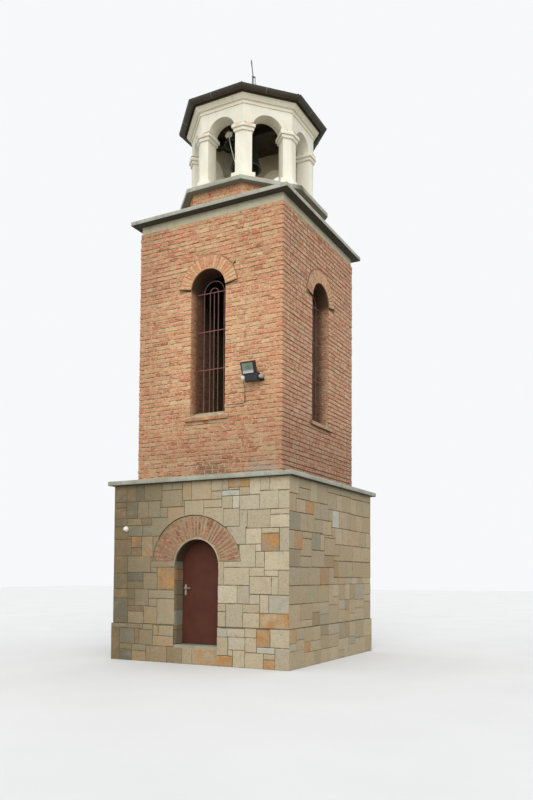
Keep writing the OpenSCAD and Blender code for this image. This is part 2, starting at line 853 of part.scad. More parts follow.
stone_wall_front_left();
stone_wall_front_right();
stone_wall_over_door();
stone_wall_right();
stone_wall_back();
stone_wall_left();
ground_floor();
door_threshold();
door_arch_ring();
door_frame();
door_leaf();
door_handle();
band_slab();
brick_wall_front();
brick_wall_right();
brick_wall_back();
brick_wall_left();
window_grille();  // window_grille_front
rotate(90) window_grille();  // window_grille_right
rotate(180) window_grille();  // window_grille_back
rotate(-90) window_grille();  // window_grille_left
frieze();
cornice_slab();
drum();
belfry_floor();
belfry_pier(1);  // belfry_pier_1
belfry_pier(2);  // belfry_pier_2
belfry_pier(3);  // belfry_pier_3
belfry_pier(4);  // belfry_pier_4
belfry_pier(5);  // belfry_pier_5
belfry_pier(6);  // belfry_pier_6
belfry_pier(7);  // belfry_pier_7
belfry_pier(8);  // belfry_pier_8
belfry_arcade();
belfry_cornice();
belfry_ceiling();
roof();
gutter();
roof_cross();
great_bell_beam();
small_bell_beam();
great_bell();
great_clapper();
small_bell();
small_clapper();
floodlight();
floodlight_cable();
wall_lamp();
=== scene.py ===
import math
import random

import bmesh
import bpy
from mathutils import Matrix, Vector


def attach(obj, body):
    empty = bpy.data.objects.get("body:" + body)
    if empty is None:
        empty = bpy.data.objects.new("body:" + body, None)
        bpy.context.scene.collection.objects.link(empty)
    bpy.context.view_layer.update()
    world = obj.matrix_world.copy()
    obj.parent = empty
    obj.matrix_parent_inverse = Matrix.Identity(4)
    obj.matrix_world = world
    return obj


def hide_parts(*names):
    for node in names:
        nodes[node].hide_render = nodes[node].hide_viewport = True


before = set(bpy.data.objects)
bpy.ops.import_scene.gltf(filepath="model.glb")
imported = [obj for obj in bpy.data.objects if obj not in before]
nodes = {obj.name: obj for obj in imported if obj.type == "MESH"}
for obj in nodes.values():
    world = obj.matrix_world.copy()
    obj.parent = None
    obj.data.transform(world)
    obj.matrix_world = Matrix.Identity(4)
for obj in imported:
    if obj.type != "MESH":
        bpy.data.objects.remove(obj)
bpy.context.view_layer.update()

# Sizes of the tower in metres, as in the part's source
STONE, STONE_H, PLINTH_OUT, PLINTH_H = 1.75, 3.06, 0.02, 0.635
FLOOR_Z, THRESHOLD_Z, LEAF_Y = 0.27, 0.31, -1.50
DOOR_R, DOOR_AXIS, RING_R, RING_FOOT = 0.44, 1.645, 0.86, 1.718
RING_FLAT, RING_LEAN = 0.025, 0.032
SHAFT, SHAFT_T, SHAFT_Z, FRIEZE_Z = 1.465, 0.38, 3.135, 7.68
GRILLE_DEPTH, BAR, RAIL_Z, RAIL_STEP = 0.19, 0.011, 5.075, 0.68
WIN_R, WIN_AXIS, WIN_FOOT, WIN_RING_R, WIN_RING_FOOT = 0.354, 6.435, 4.32, 0.59, 6.47
WIN_RING_OUT, SILL_FOOT, SILL_TOP, SILL_HALF, SILL_OUT = 0.015, 4.142, 4.20, 0.44, 0.052
CORNICE_EDGE, FRIEZE_TOP, CORNICE_LIFT = 1.602, 7.823, 0.030
DRUM, DRUM_Z, DRUM_TOP = 1.22, 7.898, 8.318
BELFRY_Z, KERB_TOP, KERB_OUT, KERB_T, KERB_HALF = 8.393, 8.561, 1.06, 0.12, 0.2345
CAPITAL_TOP, EAVES_Z = 9.483, 9.981
CEILING_Z, APEX_Z, ROOF_AP, ROOF_RISE = 10.031, 10.531, 1.262, 0.066
GUTTER, GUTTER_R, GUTTER_Z = 1.327, 0.065, 10.045
COURSES = 58
COURSE = (FRIEZE_Z - SHAFT_Z) / COURSES
PROUD, BACK, JOINT_W, HALF_JOINT, CHAMFER = 0.005, -0.004, 0.016, 0.004, 0.004

# Places of wear: pale wash and damp at the foot of the shaft, moss on the belfry's floor,
# and where the cream paint has gone from the capitals and the red render shows
WASH_AT, DAMP_AT, MOSS_AT = (1.08, -1.46, 2.98), (0.1, -1.46, 3.1), (1.348, -0.558, 8.375)
BARE_SPOTS = (((0.56, -1.08, 9.47), 0.10), ((-0.36, -1.15, 9.47), 0.09),
              ((-0.47, -1.13, 9.45), 0.06), ((0.36, -1.14, 9.465), 0.07))

# Camera, solved from the photograph: angles in degrees, picture sizes in its pixels
AZIMUTH, YAW, PITCH, ROLL = 30.507, -4.163, 2.359, 0.223
DISTANCE, EYE = 13.817, 1.492
FOCAL, CENTRE_X, CENTRE_Y = 730.85, 302.75, 544.81
PHOTO_W, PHOTO_H, SENSOR = 533, 800, 36


def make_camera():
    azimuth, yaw, pitch, roll = (math.radians(a) for a in (AZIMUTH, YAW, PITCH, ROLL))
    data = bpy.data.cameras.new("camera")
    data.sensor_width = SENSOR
    data.lens = FOCAL * SENSOR / PHOTO_H
    data.shift_x = (PHOTO_W / 2 - CENTRE_X) / PHOTO_H
    data.shift_y = (CENTRE_Y - PHOTO_H / 2) / PHOTO_H
    data.clip_end = 200
    camera = bpy.data.objects.new("camera", data)
    spot = (DISTANCE * math.sin(azimuth), -DISTANCE * math.cos(azimuth), EYE)
    camera.matrix_world = (Matrix.Translation(spot) @ Matrix.Rotation(azimuth + yaw, 4, "Z")
                           @ Matrix.Rotation(math.pi / 2 + pitch, 4, "X")
                           @ Matrix.Rotation(roll, 4, "Z"))
    bpy.context.scene.collection.objects.link(camera)
    bpy.context.scene.camera = camera


make_camera()


# Materials

def lin(rgb):
    """Linear colour of a colour written in sRGB, 0 to 255."""
    def one(c):
        c /= 255
        return c / 12.92 if c <= 0.04045 else ((c + 0.055) / 1.055) ** 2.4
    return (*(one(c) for c in rgb), 1)


class Nodes:
    """Adds nodes to a tree and links them."""

    def __init__(self, tree):
        self.tree = tree

    def put(self, socket, value):
        """Links a socket, or gives it a value; three numbers for a colour are sRGB."""
        if isinstance(value, bpy.types.NodeSocket):
            self.tree.links.new(value, socket)
        elif socket.type == "RGBA" and len(value) == 3:
            socket.default_value = lin(value)
        else:
            socket.default_value = value

    def add(self, kind, inputs=(), **props):
        node = self.tree.nodes.new(kind)
        for key, value in props.items():
            setattr(node, key, value)
        for key, value in dict(inputs).items():
            self.put(node.inputs[key], value)
        return node

    def math(self, kind, a, b=0.5):
        return self.add("ShaderNodeMath", {0: a, 1: b}, operation=kind).outputs[0]

    def seen_directly(self):
        """1 for rays of the camera, of glossy surfaces and of glass, else 0."""
        path = self.add("ShaderNodeLightPath").outputs
        seen = self.math("MAXIMUM", path["Is Camera Ray"], path["Is Glossy Ray"])
        return self.math("MAXIMUM", seen, path["Is Transmission Ray"])


class Mat(Nodes):
    """Builds a material in layers, over the object's own coordinates."""

    def __init__(self, name, rough=0.8, metallic=0.0, spec=0.5):
        self.mat = bpy.data.materials.new(name)
        self.mat.use_nodes = True
        super().__init__(self.mat.node_tree)
        self.bsdf = self.tree.nodes["Principled BSDF"].inputs
        self.bsdf["Roughness"].default_value = rough
        self.bsdf["Metallic"].default_value = metallic
        self.bsdf["Specular IOR Level"].default_value = spec
        self.co = self.add("ShaderNodeTexCoord").outputs["Object"]

    def coord(self, axis="Z"):
        return self.add("ShaderNodeSeparateXYZ", {0: self.co}).outputs[axis]

    def stretch(self, x, y, z):
        return self.add("ShaderNodeMapping", {"Vector": self.co, "Scale": (x, y, z)}).outputs[0]

    def noise(self, scale, detail, rough, co=None, warp=0.0):
        values = {"Vector": co or self.co, "Scale": scale, "Detail": detail, "Roughness": rough,
                  "Distortion": warp}
        return self.add("ShaderNodeTexNoise", values).outputs["Fac"]

    def attr(self, name):
        return self.add("ShaderNodeAttribute", attribute_name=name).outputs["Fac"]

    def ramp(self, fac, *stops):
        node = self.add("ShaderNodeValToRGB", {"Fac": fac})
        marks = node.color_ramp.elements
        while len(marks) < len(stops):
            marks.new(0.5)
        for mark, (place, colour) in zip(marks, stops):
            mark.position = place
            mark.color = lin(colour)
        return node.outputs["Color"]

    def mask(self, fac, low, high):
        values = {"Value": fac, "From Min": low, "From Max": high}
        return self.add("ShaderNodeMapRange", values).outputs["Result"]

    def spots(self, low, high, *noise, **more):
        """Mask that rises between two levels of a noise."""
        return self.mask(self.noise(*noise, **more), low, high)

    def times(self, a, b):
        return self.math("MULTIPLY", a, b)

    def mix(self, fac, base, colour, blend="MIX"):
        return self.add("ShaderNodeMix", {0: fac, 6: base, 7: colour}, data_type="RGBA",
                        blend_type=blend).outputs[2]

    def tint(self, fac, colour, share=1.0):
        """Lays a colour over the base where the mask is 1, by the given share at most."""
        fac = fac if share == 1.0 else self.times(fac, share)
        self.base = self.mix(fac, self.base, colour)

    def shade(self, fac, colour, share=1.0):
        """Multiplies the base by a colour where the mask is 1."""
        self.tint(fac, self.mix(1.0, self.base, colour, "MULTIPLY"), share)

    def inward(self, distance):
        """Depth behind the outer plane of a square storey of the given half width."""
        sides = (self.math("ABSOLUTE", self.coord(axis)) for axis in "XY")
        return self.math("SUBTRACT", distance, self.math("MAXIMUM", *sides))

    def length(self, vector, other, operation):
        """Length of the product or difference of two vectors."""
        node = self.add("ShaderNodeVectorMath", {0: vector, 1: other}, operation=operation)
        return self.add("ShaderNodeVectorMath", {0: node.outputs[0]},
                        operation="LENGTH").outputs["Value"]

    def near(self, place, radius, ragged=0.4):
        """Mask that fades from 1 at a place to 0 at the radius, with a ragged edge."""
        far = self.math("DIVIDE", self.length(self.co, place, "SUBTRACT"), radius)
        rough = self.times(self.noise(3.0 / radius + 6, 6, 0.7), ragged)
        return self.mask(self.math("ADD", far, rough), 1.0 + ragged / 2, 0.45)

    def off_axis(self):
        """Distance from the tower's upright axis."""
        return self.length(self.co, (1, 1, 0), "MULTIPLY")

    def rough(self, scale, detail, low, high):
        values = {"Value": self.noise(scale, detail, 0.6), "To Min": low, "To Max": high}
        node = self.add("ShaderNodeMapRange", values)
        self.put(self.bsdf["Roughness"], node.outputs["Result"])

    def bump(self, fac, depth, strength):
        node = self.add("ShaderNodeBump", {"Strength": strength, "Distance": depth, "Height": fac})
        last = self.bsdf["Normal"]
        if last.is_linked:
            self.put(node.inputs["Normal"], last.links[0].from_socket)
        self.put(last, node.outputs["Normal"])

    def done(self, *bumps):
        """Ends with bumps: scale, detail, roughness, depth and strength of each."""
        self.put(self.bsdf["Base Color"], self.base)
        for scale, detail, rough, depth, strength in bumps:
            self.bump(self.noise(scale, detail, rough), depth, strength)
        return self.mat


CRUMBS = (160, 4, 0.8, 0.003, 0.8)


def brick_material(name, bright=1.0, grey=0.0, spread=0.8, deep=True):
    """Rough bricks: a tone each, some pink or olive, smeared with mortar along the bed."""
    m = Mat(name, rough=0.9, spec=0.2)

    def hue(r, g, b):
        mean = (r + g + b) / 3
        return tuple(bright * (c + (mean - c) * grey) for c in (r, g, b))
    tone = m.math("ADD", m.times(m.attr("tone"), spread), 0.5 - 0.5 * spread)
    m.base = m.ramp(tone, (0.0, hue(140, 78, 58)), (0.2, hue(180, 106, 78)),
                    (0.45, hue(198, 130, 98)), (0.7, hue(206, 154, 116)),
                    (0.88, hue(214, 180, 140)), (1.0, hue(156, 118, 90)))
    m.tint(m.attr("rust"), hue(202, 124, 97))
    m.tint(m.attr("grey"), hue(194, 172, 132))
    along = m.stretch(0.42, 0.42, 1.2)
    m.tint(m.spots(0.48, 0.58, 19, 7, 0.75, co=along, warp=0.5), hue(212, 172, 132), 0.8)
    m.tint(m.spots(0.55, 0.63, 34, 6, 0.8, co=along, warp=0.4), hue(228, 200, 160))
    m.tint(m.spots(0.55, 0.63, 42, 6, 0.85, co=along), hue(128, 80, 58))
    m.tint(m.spots(0.6, 0.7, 15, 5, 0.8, warp=0.5), hue(150, 112, 82))
    m.tint(m.near(WASH_AT, 0.5), hue(184, 176, 156))
    m.tint(m.near(DAMP_AT, 0.5, 0.6), hue(140, 110, 86))
    grime_and_shade(m)
    if deep:
        painted_shade_inside(m)
    return m.done((120, 4, 0.7, 0.002, 0.7), (30, 5, 0.7, 0.006, 0.8))


def grime_and_shade(m):
    """Darkens the foot of the shaft, and its left edge partly as dirt and partly as painted shade."""
    left = m.times(m.mask(m.coord("X"), -0.6, -1.2), 0.65)
    m.shade(m.math("MAXIMUM", m.mask(m.coord(), 4.7, 3.6), left), (220, 219, 222))


def painted_shade_inside(m):
    """Painted shade on the reveals and inner faces of the shaft, most under the arches."""
    depth = m.inward(SHAFT)
    m.tint(m.mask(depth, 0.015, 0.2), (66, 42, 30), 0.78)
    under = m.times(m.mask(m.coord(), WIN_AXIS - 0.1, WIN_AXIS + 0.06), m.mask(depth, -0.004, 0.012))
    m.tint(under, (60, 46, 34), 0.85)


def crumble(m, low, high):
    """Mortar between two colours, with darker holes."""
    m.base = m.ramp(m.noise(12, 5, 0.7), (0.3, low), (0.7, high))
    m.tint(m.spots(0.52, 0.6, 17, 6, 0.8, warp=0.5), tuple(0.58 * c for c in low), 0.75)


def mortar_material(name, low, high):
    """Crumbled mortar, dull at the foot of the shaft and, partly as painted shade, at its left edge."""
    m = Mat(name, rough=0.95, spec=0.2)
    crumble(m, low, high)
    grime_and_shade(m)
    return m.done(CRUMBS)


def shaft_mortar():
    """Crumbled mortar, with a painted shadow under the bricks of each course, and painted shade all
    over the right side.
    """
    m = Mat("mortar", rough=0.95, spec=0.2)
    share = m.math("FRACT", m.math("DIVIDE", m.math("SUBTRACT", m.coord(), SHAFT_Z), COURSE))
    arch = over_window(m)
    # Mortar of the right side: darker all over as painted shade, less dark in the perpends and round
    # the arch
    crumble(m, (84, 66, 50), (126, 104, 80))
    m.tint(m.times(m.mask(share, 0.09, 0.11), m.mask(share, 0.91, 0.89)), (142, 114, 88))
    m.tint(arch, (140, 114, 86))
    shaded_right_side = m.base
    crumble(m, (188, 160, 122), (220, 194, 154))
    m.tint(m.near(WASH_AT, 0.5), (176, 172, 156))
    # Painted shadow along the top of each bed joint, under the bricks above, in broken dashes
    shadow_dashes = m.spots(0.46, 0.54, 17, 6, 0.75, co=m.stretch(0.5, 0.5, 1))
    m.tint(m.times(m.mask(share, 0.15, 0.12), shadow_dashes), (100, 72, 52))
    m.tint(arch, (172, 134, 100))
    # The right side takes the mortar with painted shade
    m.tint(m.mask(m.coord("X"), SHAFT - 0.02, SHAFT - 0.01), shaded_right_side)
    grime_and_shade(m)
    painted_shade_inside(m)
    return m.done(CRUMBS)


def over_window(m):
    """Mask of the round ring of bricks over a window, on any side of the shaft."""
    across = m.math("MINIMUM", *(m.math("ABSOLUTE", m.coord(axis)) for axis in "XY"))
    rise = m.math("SUBTRACT", m.coord(), WIN_AXIS)
    reach = m.math("SQRT", m.math("ADD", m.math("POWER", across, 2.0), m.times(rise, rise)))
    return m.times(m.mask(reach, WIN_RING_R + 0.04, WIN_RING_R + 0.02), m.mask(rise, -0.01, 0.01))


def ring_material(name, low, high):
    """Mortar of the door ring, duller at the left, with painted shade on the underside of the arch."""
    m = Mat(name, rough=0.95, spec=0.2)
    m.base = m.ramp(m.noise(14, 5, 0.7), (0.3, low), (0.7, high))
    m.shade(m.mask(m.coord("X"), 0.0, -0.8), (206, 204, 196))
    m.tint(m.mask(m.inward(STONE), 0.008, 0.06), (56, 46, 32), 0.9)
    return m.done(CRUMBS)


def stone_material():
    """Sandstone with a tone, a rust and a grey for each stone, clouds, veins and dust."""
    m = Mat("sandstone", rough=0.85, spec=0.3)
    tone = m.attr("tone")
    m.base = m.ramp(tone, (0.0, (112, 99, 75)), (0.3, (137, 124, 99)), (0.5, (166, 152, 125)),
                    (0.7, (174, 160, 133)), (0.85, (186, 173, 146)), (1.0, (198, 187, 161)))
    m.tint(m.attr("grey"), m.ramp(tone, (0.0, (108, 103, 88)), (0.5, (147, 144, 130)),
                                  (1.0, (196, 197, 186))))
    # Darker and greyer towards the left: partly dirt and damp, partly painted shade
    m.shade(m.mask(m.coord("X"), 0.2, -1.5), (178, 182, 176), 0.9)
    rust = m.ramp(m.noise(14, 6, 0.7, warp=0.8), (0.3, (140, 92, 50)), (0.5, (176, 126, 70)),
                  (0.7, (174, 142, 94)))
    m.tint(m.times(m.math("POWER", m.attr("rust"), 2.2), m.spots(0.25, 0.6, 7, 4, 0.6)), rust)
    m.tint(m.spots(0.5, 0.75, 5, 5, 0.6), (160, 130, 90), 0.275)
    m.tint(m.spots(0.55, 0.7, 4, 4, 0.6, co=m.stretch(1, 1, 1.7)), (150, 148, 134), 0.3)
    m.tint(m.spots(0.54, 0.7, 22, 6, 0.75, warp=0.8), (104, 90, 64), 0.5625)
    m.shade(m.spots(0.54, 0.68, 34, 5, 0.8), (1.3, 1.3, 1.3, 1))
    # Painted shade deeper within the wall's face, on the doorway's reveals
    m.tint(m.mask(m.inward(STONE), 0.01, 0.1), (60, 52, 38), 0.4)
    return m.done((30, 5, 0.7, 0.010, 0.8), (170, 3, 0.7, 0.0015, 0.5))


def joint_material():
    m = Mat("stone_joint", rough=0.95, spec=0.2)
    m.base = m.ramp(m.noise(14, 5, 0.7), (0.3, (84, 74, 54)), (0.7, (124, 112, 86)))
    # Painted shade deeper within the wall's face
    m.tint(m.mask(m.inward(STONE), 0.02, 0.25), (60, 52, 40))
    return m.done((150, 4, 0.8, 0.003, 0.8))


# Dark sheet of painted shadow, for gaps, a chip and the door ring's top
def shadow_material():
    m = Mat("painted_shadow", rough=0.95, spec=0.1)
    m.base = m.ramp(m.noise(30, 4, 0.7), (0.3, (40, 33, 24)), (0.7, (66, 56, 42)))
    return m.done()


def concrete_material(name, top, low, under=None, under_shade=(74, 68, 56)):
    """Weathered concrete, darker on the underside that lies at the given level, as painted shade."""
    m = Mat(name, rough=0.9, spec=0.3)
    m.base = m.ramp(m.noise(3.5, 6, 0.65), (0.3, low), (0.62, top))
    m.tint(m.spots(0.58, 0.76, 9, 5, 0.6, co=m.stretch(1, 1, 0.2)), (122, 118, 100))
    m.tint(m.spots(0.6, 0.75, 60, 3, 0.8), tuple(c + 18 for c in top))
    m.tint(m.near(MOSS_AT, 0.22, 0.8), (88, 94, 80))
    # Painted shade on the slab's underside
    if under:
        m.tint(m.mask(m.coord(), under + 0.005, under + 0.001), under_shade, 0.9)
    return m.done((50, 5, 0.7, 0.003, 0.6), (7, 3, 0.5, 0.006, 0.4))


def ceiling_material():
    """Dark slab whose outer edge, over the mouldings, is brown board."""
    m = Mat("ceiling", rough=0.9, spec=0.2)
    m.base = m.ramp(m.noise(5, 5, 0.65), (0.3, (50, 45, 36)), (0.65, (76, 70, 58)))
    m.tint(m.mask(m.off_axis(), 1.08, 1.12), (88, 66, 50))
    return m.done((50, 4, 0.7, 0.002, 0.5))


def render_material(name, pale, dull, stain, spots=(), seam=None, board=None, inner=None):
    """Painted render: bare at the spots, cracked below the seam, brown above the board,
    and, as painted shade inside the belfry, warmer and darker nearer to the axis than the inner
    distance."""
    m = Mat(name, rough=0.85, spec=0.3)
    m.base = m.ramp(m.noise(2.2, 5, 0.6), (0.3, dull), (0.65, pale))
    m.tint(m.spots(0.56, 0.8, 8, 5, 0.65, co=m.stretch(1.6, 1.6, 0.18)), stain, 0.55)
    for place, radius in spots:
        m.tint(m.near(place, radius, 0.7), (214, 160, 116), 0.7)
    if seam:
        below = m.mask(m.coord(), seam - 0.020, seam - 0.014)
        m.tint(m.times(below, m.spots(0.47, 0.53, 5, 5, 0.65)), (124, 80, 60))
    if board:
        m.tint(m.mask(m.coord(), board - 0.003, board), (92, 74, 56))
    # Painted shade: inner faces of the belfry are warmer and darker
    if inner:
        m.shade(m.mask(m.off_axis(), inner + 0.03, inner - 0.03), (244, 232, 208))
    return m.done((90, 4, 0.7, 0.0012, 0.6), (6, 3, 0.5, 0.006, 0.35))


def paint_material(name, main, worn, rough=0.45, streaks=0.5, spec=0.5):
    m = Mat(name, rough=rough, spec=spec)
    m.base = m.ramp(m.noise(3, 4, 0.6), (0.3, main), (0.75, worn))
    m.tint(m.spots(0.55, 0.8, 12, 4, 0.6, co=m.stretch(1.5, 1.5, 0.12)), worn, streaks)
    m.rough(9, 4, rough - 0.08, rough + 0.14)
    return m.done((140, 3, 0.6, 0.0006, 0.5), (2.5, 2, 0.5, 0.004, 0.3))


def grille_material():
    """Faded primer; the rails are redder than the uprights."""
    m = Mat("grille_paint", rough=0.6, spec=0.3)
    patches = m.noise(12, 4, 0.6, co=m.stretch(1.5, 1.5, 0.3))
    m.base = m.ramp(patches, (0.35, (98, 70, 64)), (0.7, (124, 104, 100)))
    rise = m.math("DIVIDE", m.math("SUBTRACT", m.coord(), RAIL_Z), RAIL_STEP)
    bar = BAR / RAIL_STEP
    m.tint(m.mask(m.math("FRACT", rise), bar + 0.001, bar), (146, 92, 86))
    m.rough(9, 4, 0.5, 0.75)
    return m.done((140, 3, 0.6, 0.0006, 0.5))


def metal_material(name, main, worn, rough=0.4, metallic=0.9):
    m = Mat(name, rough, metallic)
    m.base = m.ramp(m.noise(18, 5, 0.65), (0.35, main), (0.7, worn))
    m.rough(40, 4, rough - 0.1, rough + 0.15)
    return m.done((220, 3, 0.6, 0.0004, 0.4))


def bronze_material():
    m = Mat("bronze", 0.55, 0.55)
    m.base = m.ramp(m.noise(7, 6, 0.7, co=m.stretch(1, 1, 0.4)), (0.3, (46, 46, 34)),
                    (0.55, (62, 70, 52)), (0.75, (84, 104, 84)))
    m.rough(15, 4, 0.4, 0.75)
    return m.done((60, 4, 0.7, 0.001, 0.5))


def wood_material():
    m = Mat("timber", rough=0.85, spec=0.3)
    grain = m.noise(22, 6, 0.7, co=m.stretch(0.08, 1.5, 1.5), warp=0.4)
    m.base = m.ramp(grain, (0.3, (38, 34, 29)), (0.55, (58, 52, 44)), (0.75, (76, 70, 60)))
    m.bump(grain, 0.002, 0.6)
    return m.done()


def lamp_glass():
    """Grey pane with a green middle, palest at its foot."""
    m = Mat("lamp_glass", rough=0.12, spec=0.6)
    m.base = m.ramp(m.noise(9, 4, 0.6), (0.35, (110, 116, 114)), (0.65, (132, 138, 136)))
    m.tint(m.near(LAMP_MIDDLE, 0.085, 0.3), (84, 116, 78))
    m.tint(m.mask(m.coord(), LAMP_FOOT + 0.059, LAMP_FOOT + 0.009), (214, 216, 212))
    return m.done((30, 3, 0.5, 0.0005, 0.4))


def rope_material():
    """Twisted strands, tarred above the knot."""
    m = Mat("rope", rough=0.9, spec=0.2)
    strand = m.add("ShaderNodeTexWave", {"Vector": m.co, "Scale": 60, "Distortion": 1.5},
                   wave_type="BANDS", bands_direction="DIAGONAL").outputs["Fac"]
    m.base = m.ramp(strand, (0.2, (176, 170, 158)), (0.7, (236, 234, 226)))
    m.tint(m.mask(m.coord(), ROPE_KNOT[2] + 0.06, ROPE_KNOT[2] + 0.09), (58, 50, 42))
    m.bump(strand, 0.002, 0.8)
    return m.done()


# Places of the rope, the cable and the floodlight's glass
ROPE_KNOT, ROPE_END = (-0.06, -0.75, 9.585), (0.266, -0.84, 8.61)
CABLE_X, CABLE_TOP, CABLE_LEVEL = 0.760, 4.735, 4.365
LAMP_MIDDLE, LAMP_FOOT = (0.94, -1.66, 4.91), 4.801

# Finishes
BRICK = brick_material("brick")
# Bricks of the right side: a darker, greyer and more even copy, as painted shade
BRICK_SHADE = brick_material("brick_shade", 0.96, grey=0.16, spread=0.5)
BRICK_TOP = brick_material("brick_top", 0.95, deep=False)
BRICK_DOOR = brick_material("brick_door", 0.94, grey=0.08, spread=1.0, deep=False)
MORTAR = shaft_mortar()
MORTAR_TOP = mortar_material("mortar_top", (168, 138, 108), (196, 168, 136))
RING = ring_material("ring_mortar", (136, 122, 96), (172, 154, 124))
PLASTER = ring_material("plaster_edge", (160, 144, 118), (190, 176, 150))
SILL = mortar_material("sill_mortar", (184, 166, 134), (208, 190, 158))
SANDSTONE = stone_material()
JOINT = joint_material()
SHADOW = shadow_material()
SLAB_PALE, SLAB_DULL = (174, 175, 162), (148, 148, 134)
CONCRETE = concrete_material("concrete", SLAB_PALE, SLAB_DULL)
CREAMS = (232, 229, 213), (224, 219, 201), (190, 180, 152)
CREAM = render_material("cream_render", *CREAMS, inner=0.85)
PIER = render_material("pier_render", *CREAMS, spots=BARE_SPOTS, seam=CAPITAL_TOP, inner=0.85)
# The cove's render, a little paler and warmer than the cream, as painted light under the gutter
COVE = render_material("cove_render", (236, 231, 212), (228, 221, 200), (196, 184, 154),
                       board=EAVES_Z - 0.011)
RENDER = render_material("render", (200, 194, 168), (180, 172, 146), (142, 132, 106))
DOOR = paint_material("door_paint", (78, 43, 33), (90, 53, 41), 0.6, 0.4, spec=0.15)
GRILLE = grille_material()
SHEET = paint_material("sheet_metal", (52, 46, 37), (74, 68, 57), 0.55, 0.6, spec=0.3)
RIM = paint_material("gutter_rim", (40, 44, 40), (62, 68, 64), 0.45, 0.5)
BLACK = paint_material("black_case", (24, 26, 28), (38, 40, 42), 0.5, 0.3)
STEEL = metal_material("bright_steel", (192, 184, 176), (140, 132, 126), 0.4, metallic=0.3)
CROSS = metal_material("cross_steel", (120, 120, 122), (88, 80, 74), 0.5)
IRON = metal_material("iron", (40, 36, 34), (70, 56, 46), 0.6)
BRONZE = bronze_material()
WOOD = wood_material()
OPAL = paint_material("opal", (232, 232, 228), (214, 214, 206), 0.25, 0.2)
STRAP = paint_material("strap_metal", (124, 122, 114), (96, 92, 84), 0.5, 0.5)
TAPE = paint_material("tape", (156, 62, 52), (120, 60, 50), 0.6, 0.3)
LAMP_GLASS = lamp_glass()
ROPE = rope_material()

# Mesh helpers

def place(name, data, materials, slot=None, body="tower"):
    """Adds a piece that rides on a body."""
    piece = bpy.data.objects.new(name, data)
    bpy.context.scene.collection.objects.link(piece)
    for material in materials:
        data.materials.append(material)
    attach(piece, body)
    return piece


class Mesher:
    """Collects bricks, stones and other tiles, then makes one piece of them."""

    def __init__(self, name, seed):
        self.name, self.rng = name, random.Random(seed)
        self.verts, self.faces, self.looks = [], [], []

    def tile(self, to3, poly, front, look, back=BACK, chamfer=CHAMFER, step=0.09,
             wobble=0.0015, bulge=0.0, keep=()):
        """One brick or stone: outline with slightly uneven edges, chamfered, with sides."""
        rng, points, sharp = self.rng, [], []
        for i, p in enumerate(poly):
            q = poly[(i + 1) % len(poly)]
            parts = max(1, round(math.hypot(q[0] - p[0], q[1] - p[1]) / step))
            fixed = i in keep
            for k in range(parts):
                t = k / parts
                x, y = p[0] + (q[0] - p[0]) * t, p[1] + (q[1] - p[1]) * t
                if k and not fixed:
                    x += rng.uniform(-wobble, wobble)
                    y += rng.uniform(-wobble, wobble)
                points.append((x, y))
                sharp.append(0.0 if fixed else chamfer * rng.uniform(0.6, 1.5))
        inner = inset(points, sharp)
        base, count = len(self.verts), len(points)
        self.verts += [to3(x, y, back) for x, y in points]
        self.verts += [to3(x, y, front - (chamfer if s else 0.0))
                       for (x, y), s in zip(points, sharp)]
        self.verts += [to3(x, y, front + rng.uniform(-0.3, 0.3) * wobble) for x, y in inner]
        cx, cy = (sum(p[k] for p in inner) / count for k in (0, 1))
        self.verts.append(to3(cx, cy, front + bulge))
        for i in range(count):
            j = (i + 1) % count
            for low in (base, base + count):
                self.faces.append((low + i, low + j, low + count + j, low + count + i))
            self.faces.append((base + 2 * count + i, base + 2 * count + j, base + 3 * count))
            self.looks += [look] * 3

    def make(self, *materials, slot):
        mesh = bpy.data.meshes.new(self.name)
        mesh.from_pydata(self.verts, [], self.faces)
        for k, key in enumerate(("tone", "rust", "grey")):
            data = mesh.attributes.new(key, "FLOAT", "FACE").data
            data.foreach_set("value", [look[k] for look in self.looks])
        if len(materials) > 1:
            mesh.polygons.foreach_set("material_index", [look[3] for look in self.looks])
        mesh.update()
        return place(self.name, mesh, materials, slot)


def value(tone, rust=0.0, grey=0.0, index=0):
    """Look of a face, and which of its piece's materials it has."""
    return (tone, rust, grey, index)


def plane(origin, u, v, n):
    """Maps a point (u, v, n) of a flat face to the tower's frame."""
    origin, u, v, n = Vector(origin), Vector(u), Vector(v), Vector(n)

    def to3(a, b, c):
        return origin + u * a + v * b + n * c
    return to3


def heading(side, sides):
    """Cosine and sine of a side's turn from the front."""
    a = side * 2 * math.pi / sides
    return math.cos(a), math.sin(a)


def side_plane(side, distance, sides=4):
    """Outer plane of a wall: side 0 is the front, the next ones follow to the right."""
    c, s = heading(side, sides)
    return plane((s * distance, -c * distance, 0), (c, s, 0), (0, 0, 1), (s, -c, 0))


def rect(x0, y0, x1, y1):
    return [(x0, y0), (x1, y0), (x1, y1), (x0, y1)]


def inset(poly, amounts):
    """Polygon moved inwards, each edge by its own amount."""
    out = []
    count = len(poly)
    for i in range(count):
        x, y = poly[i]
        (px, py), (qx, qy) = poly[i - 1], poly[(i + 1) % count]
        e1, e2 = (x - px, y - py), (qx - x, qy - y)
        l1, l2 = math.hypot(*e1) or 1e-9, math.hypot(*e2) or 1e-9
        n1, n2 = (-e1[1] / l1, e1[0] / l1), (-e2[1] / l2, e2[0] / l2)
        d1, d2 = amounts[i - 1], amounts[i]
        det = n1[0] * n2[1] - n1[1] * n2[0]
        if abs(det) < 0.25:
            out.append((x + n1[0] * (d1 + d2) / 2, y + n1[1] * (d1 + d2) / 2))
        else:
            out.append((x + (d1 * n2[1] - d2 * n1[1]) / det,
                        y + (n1[0] * d2 - n2[0] * d1) / det))
    return out


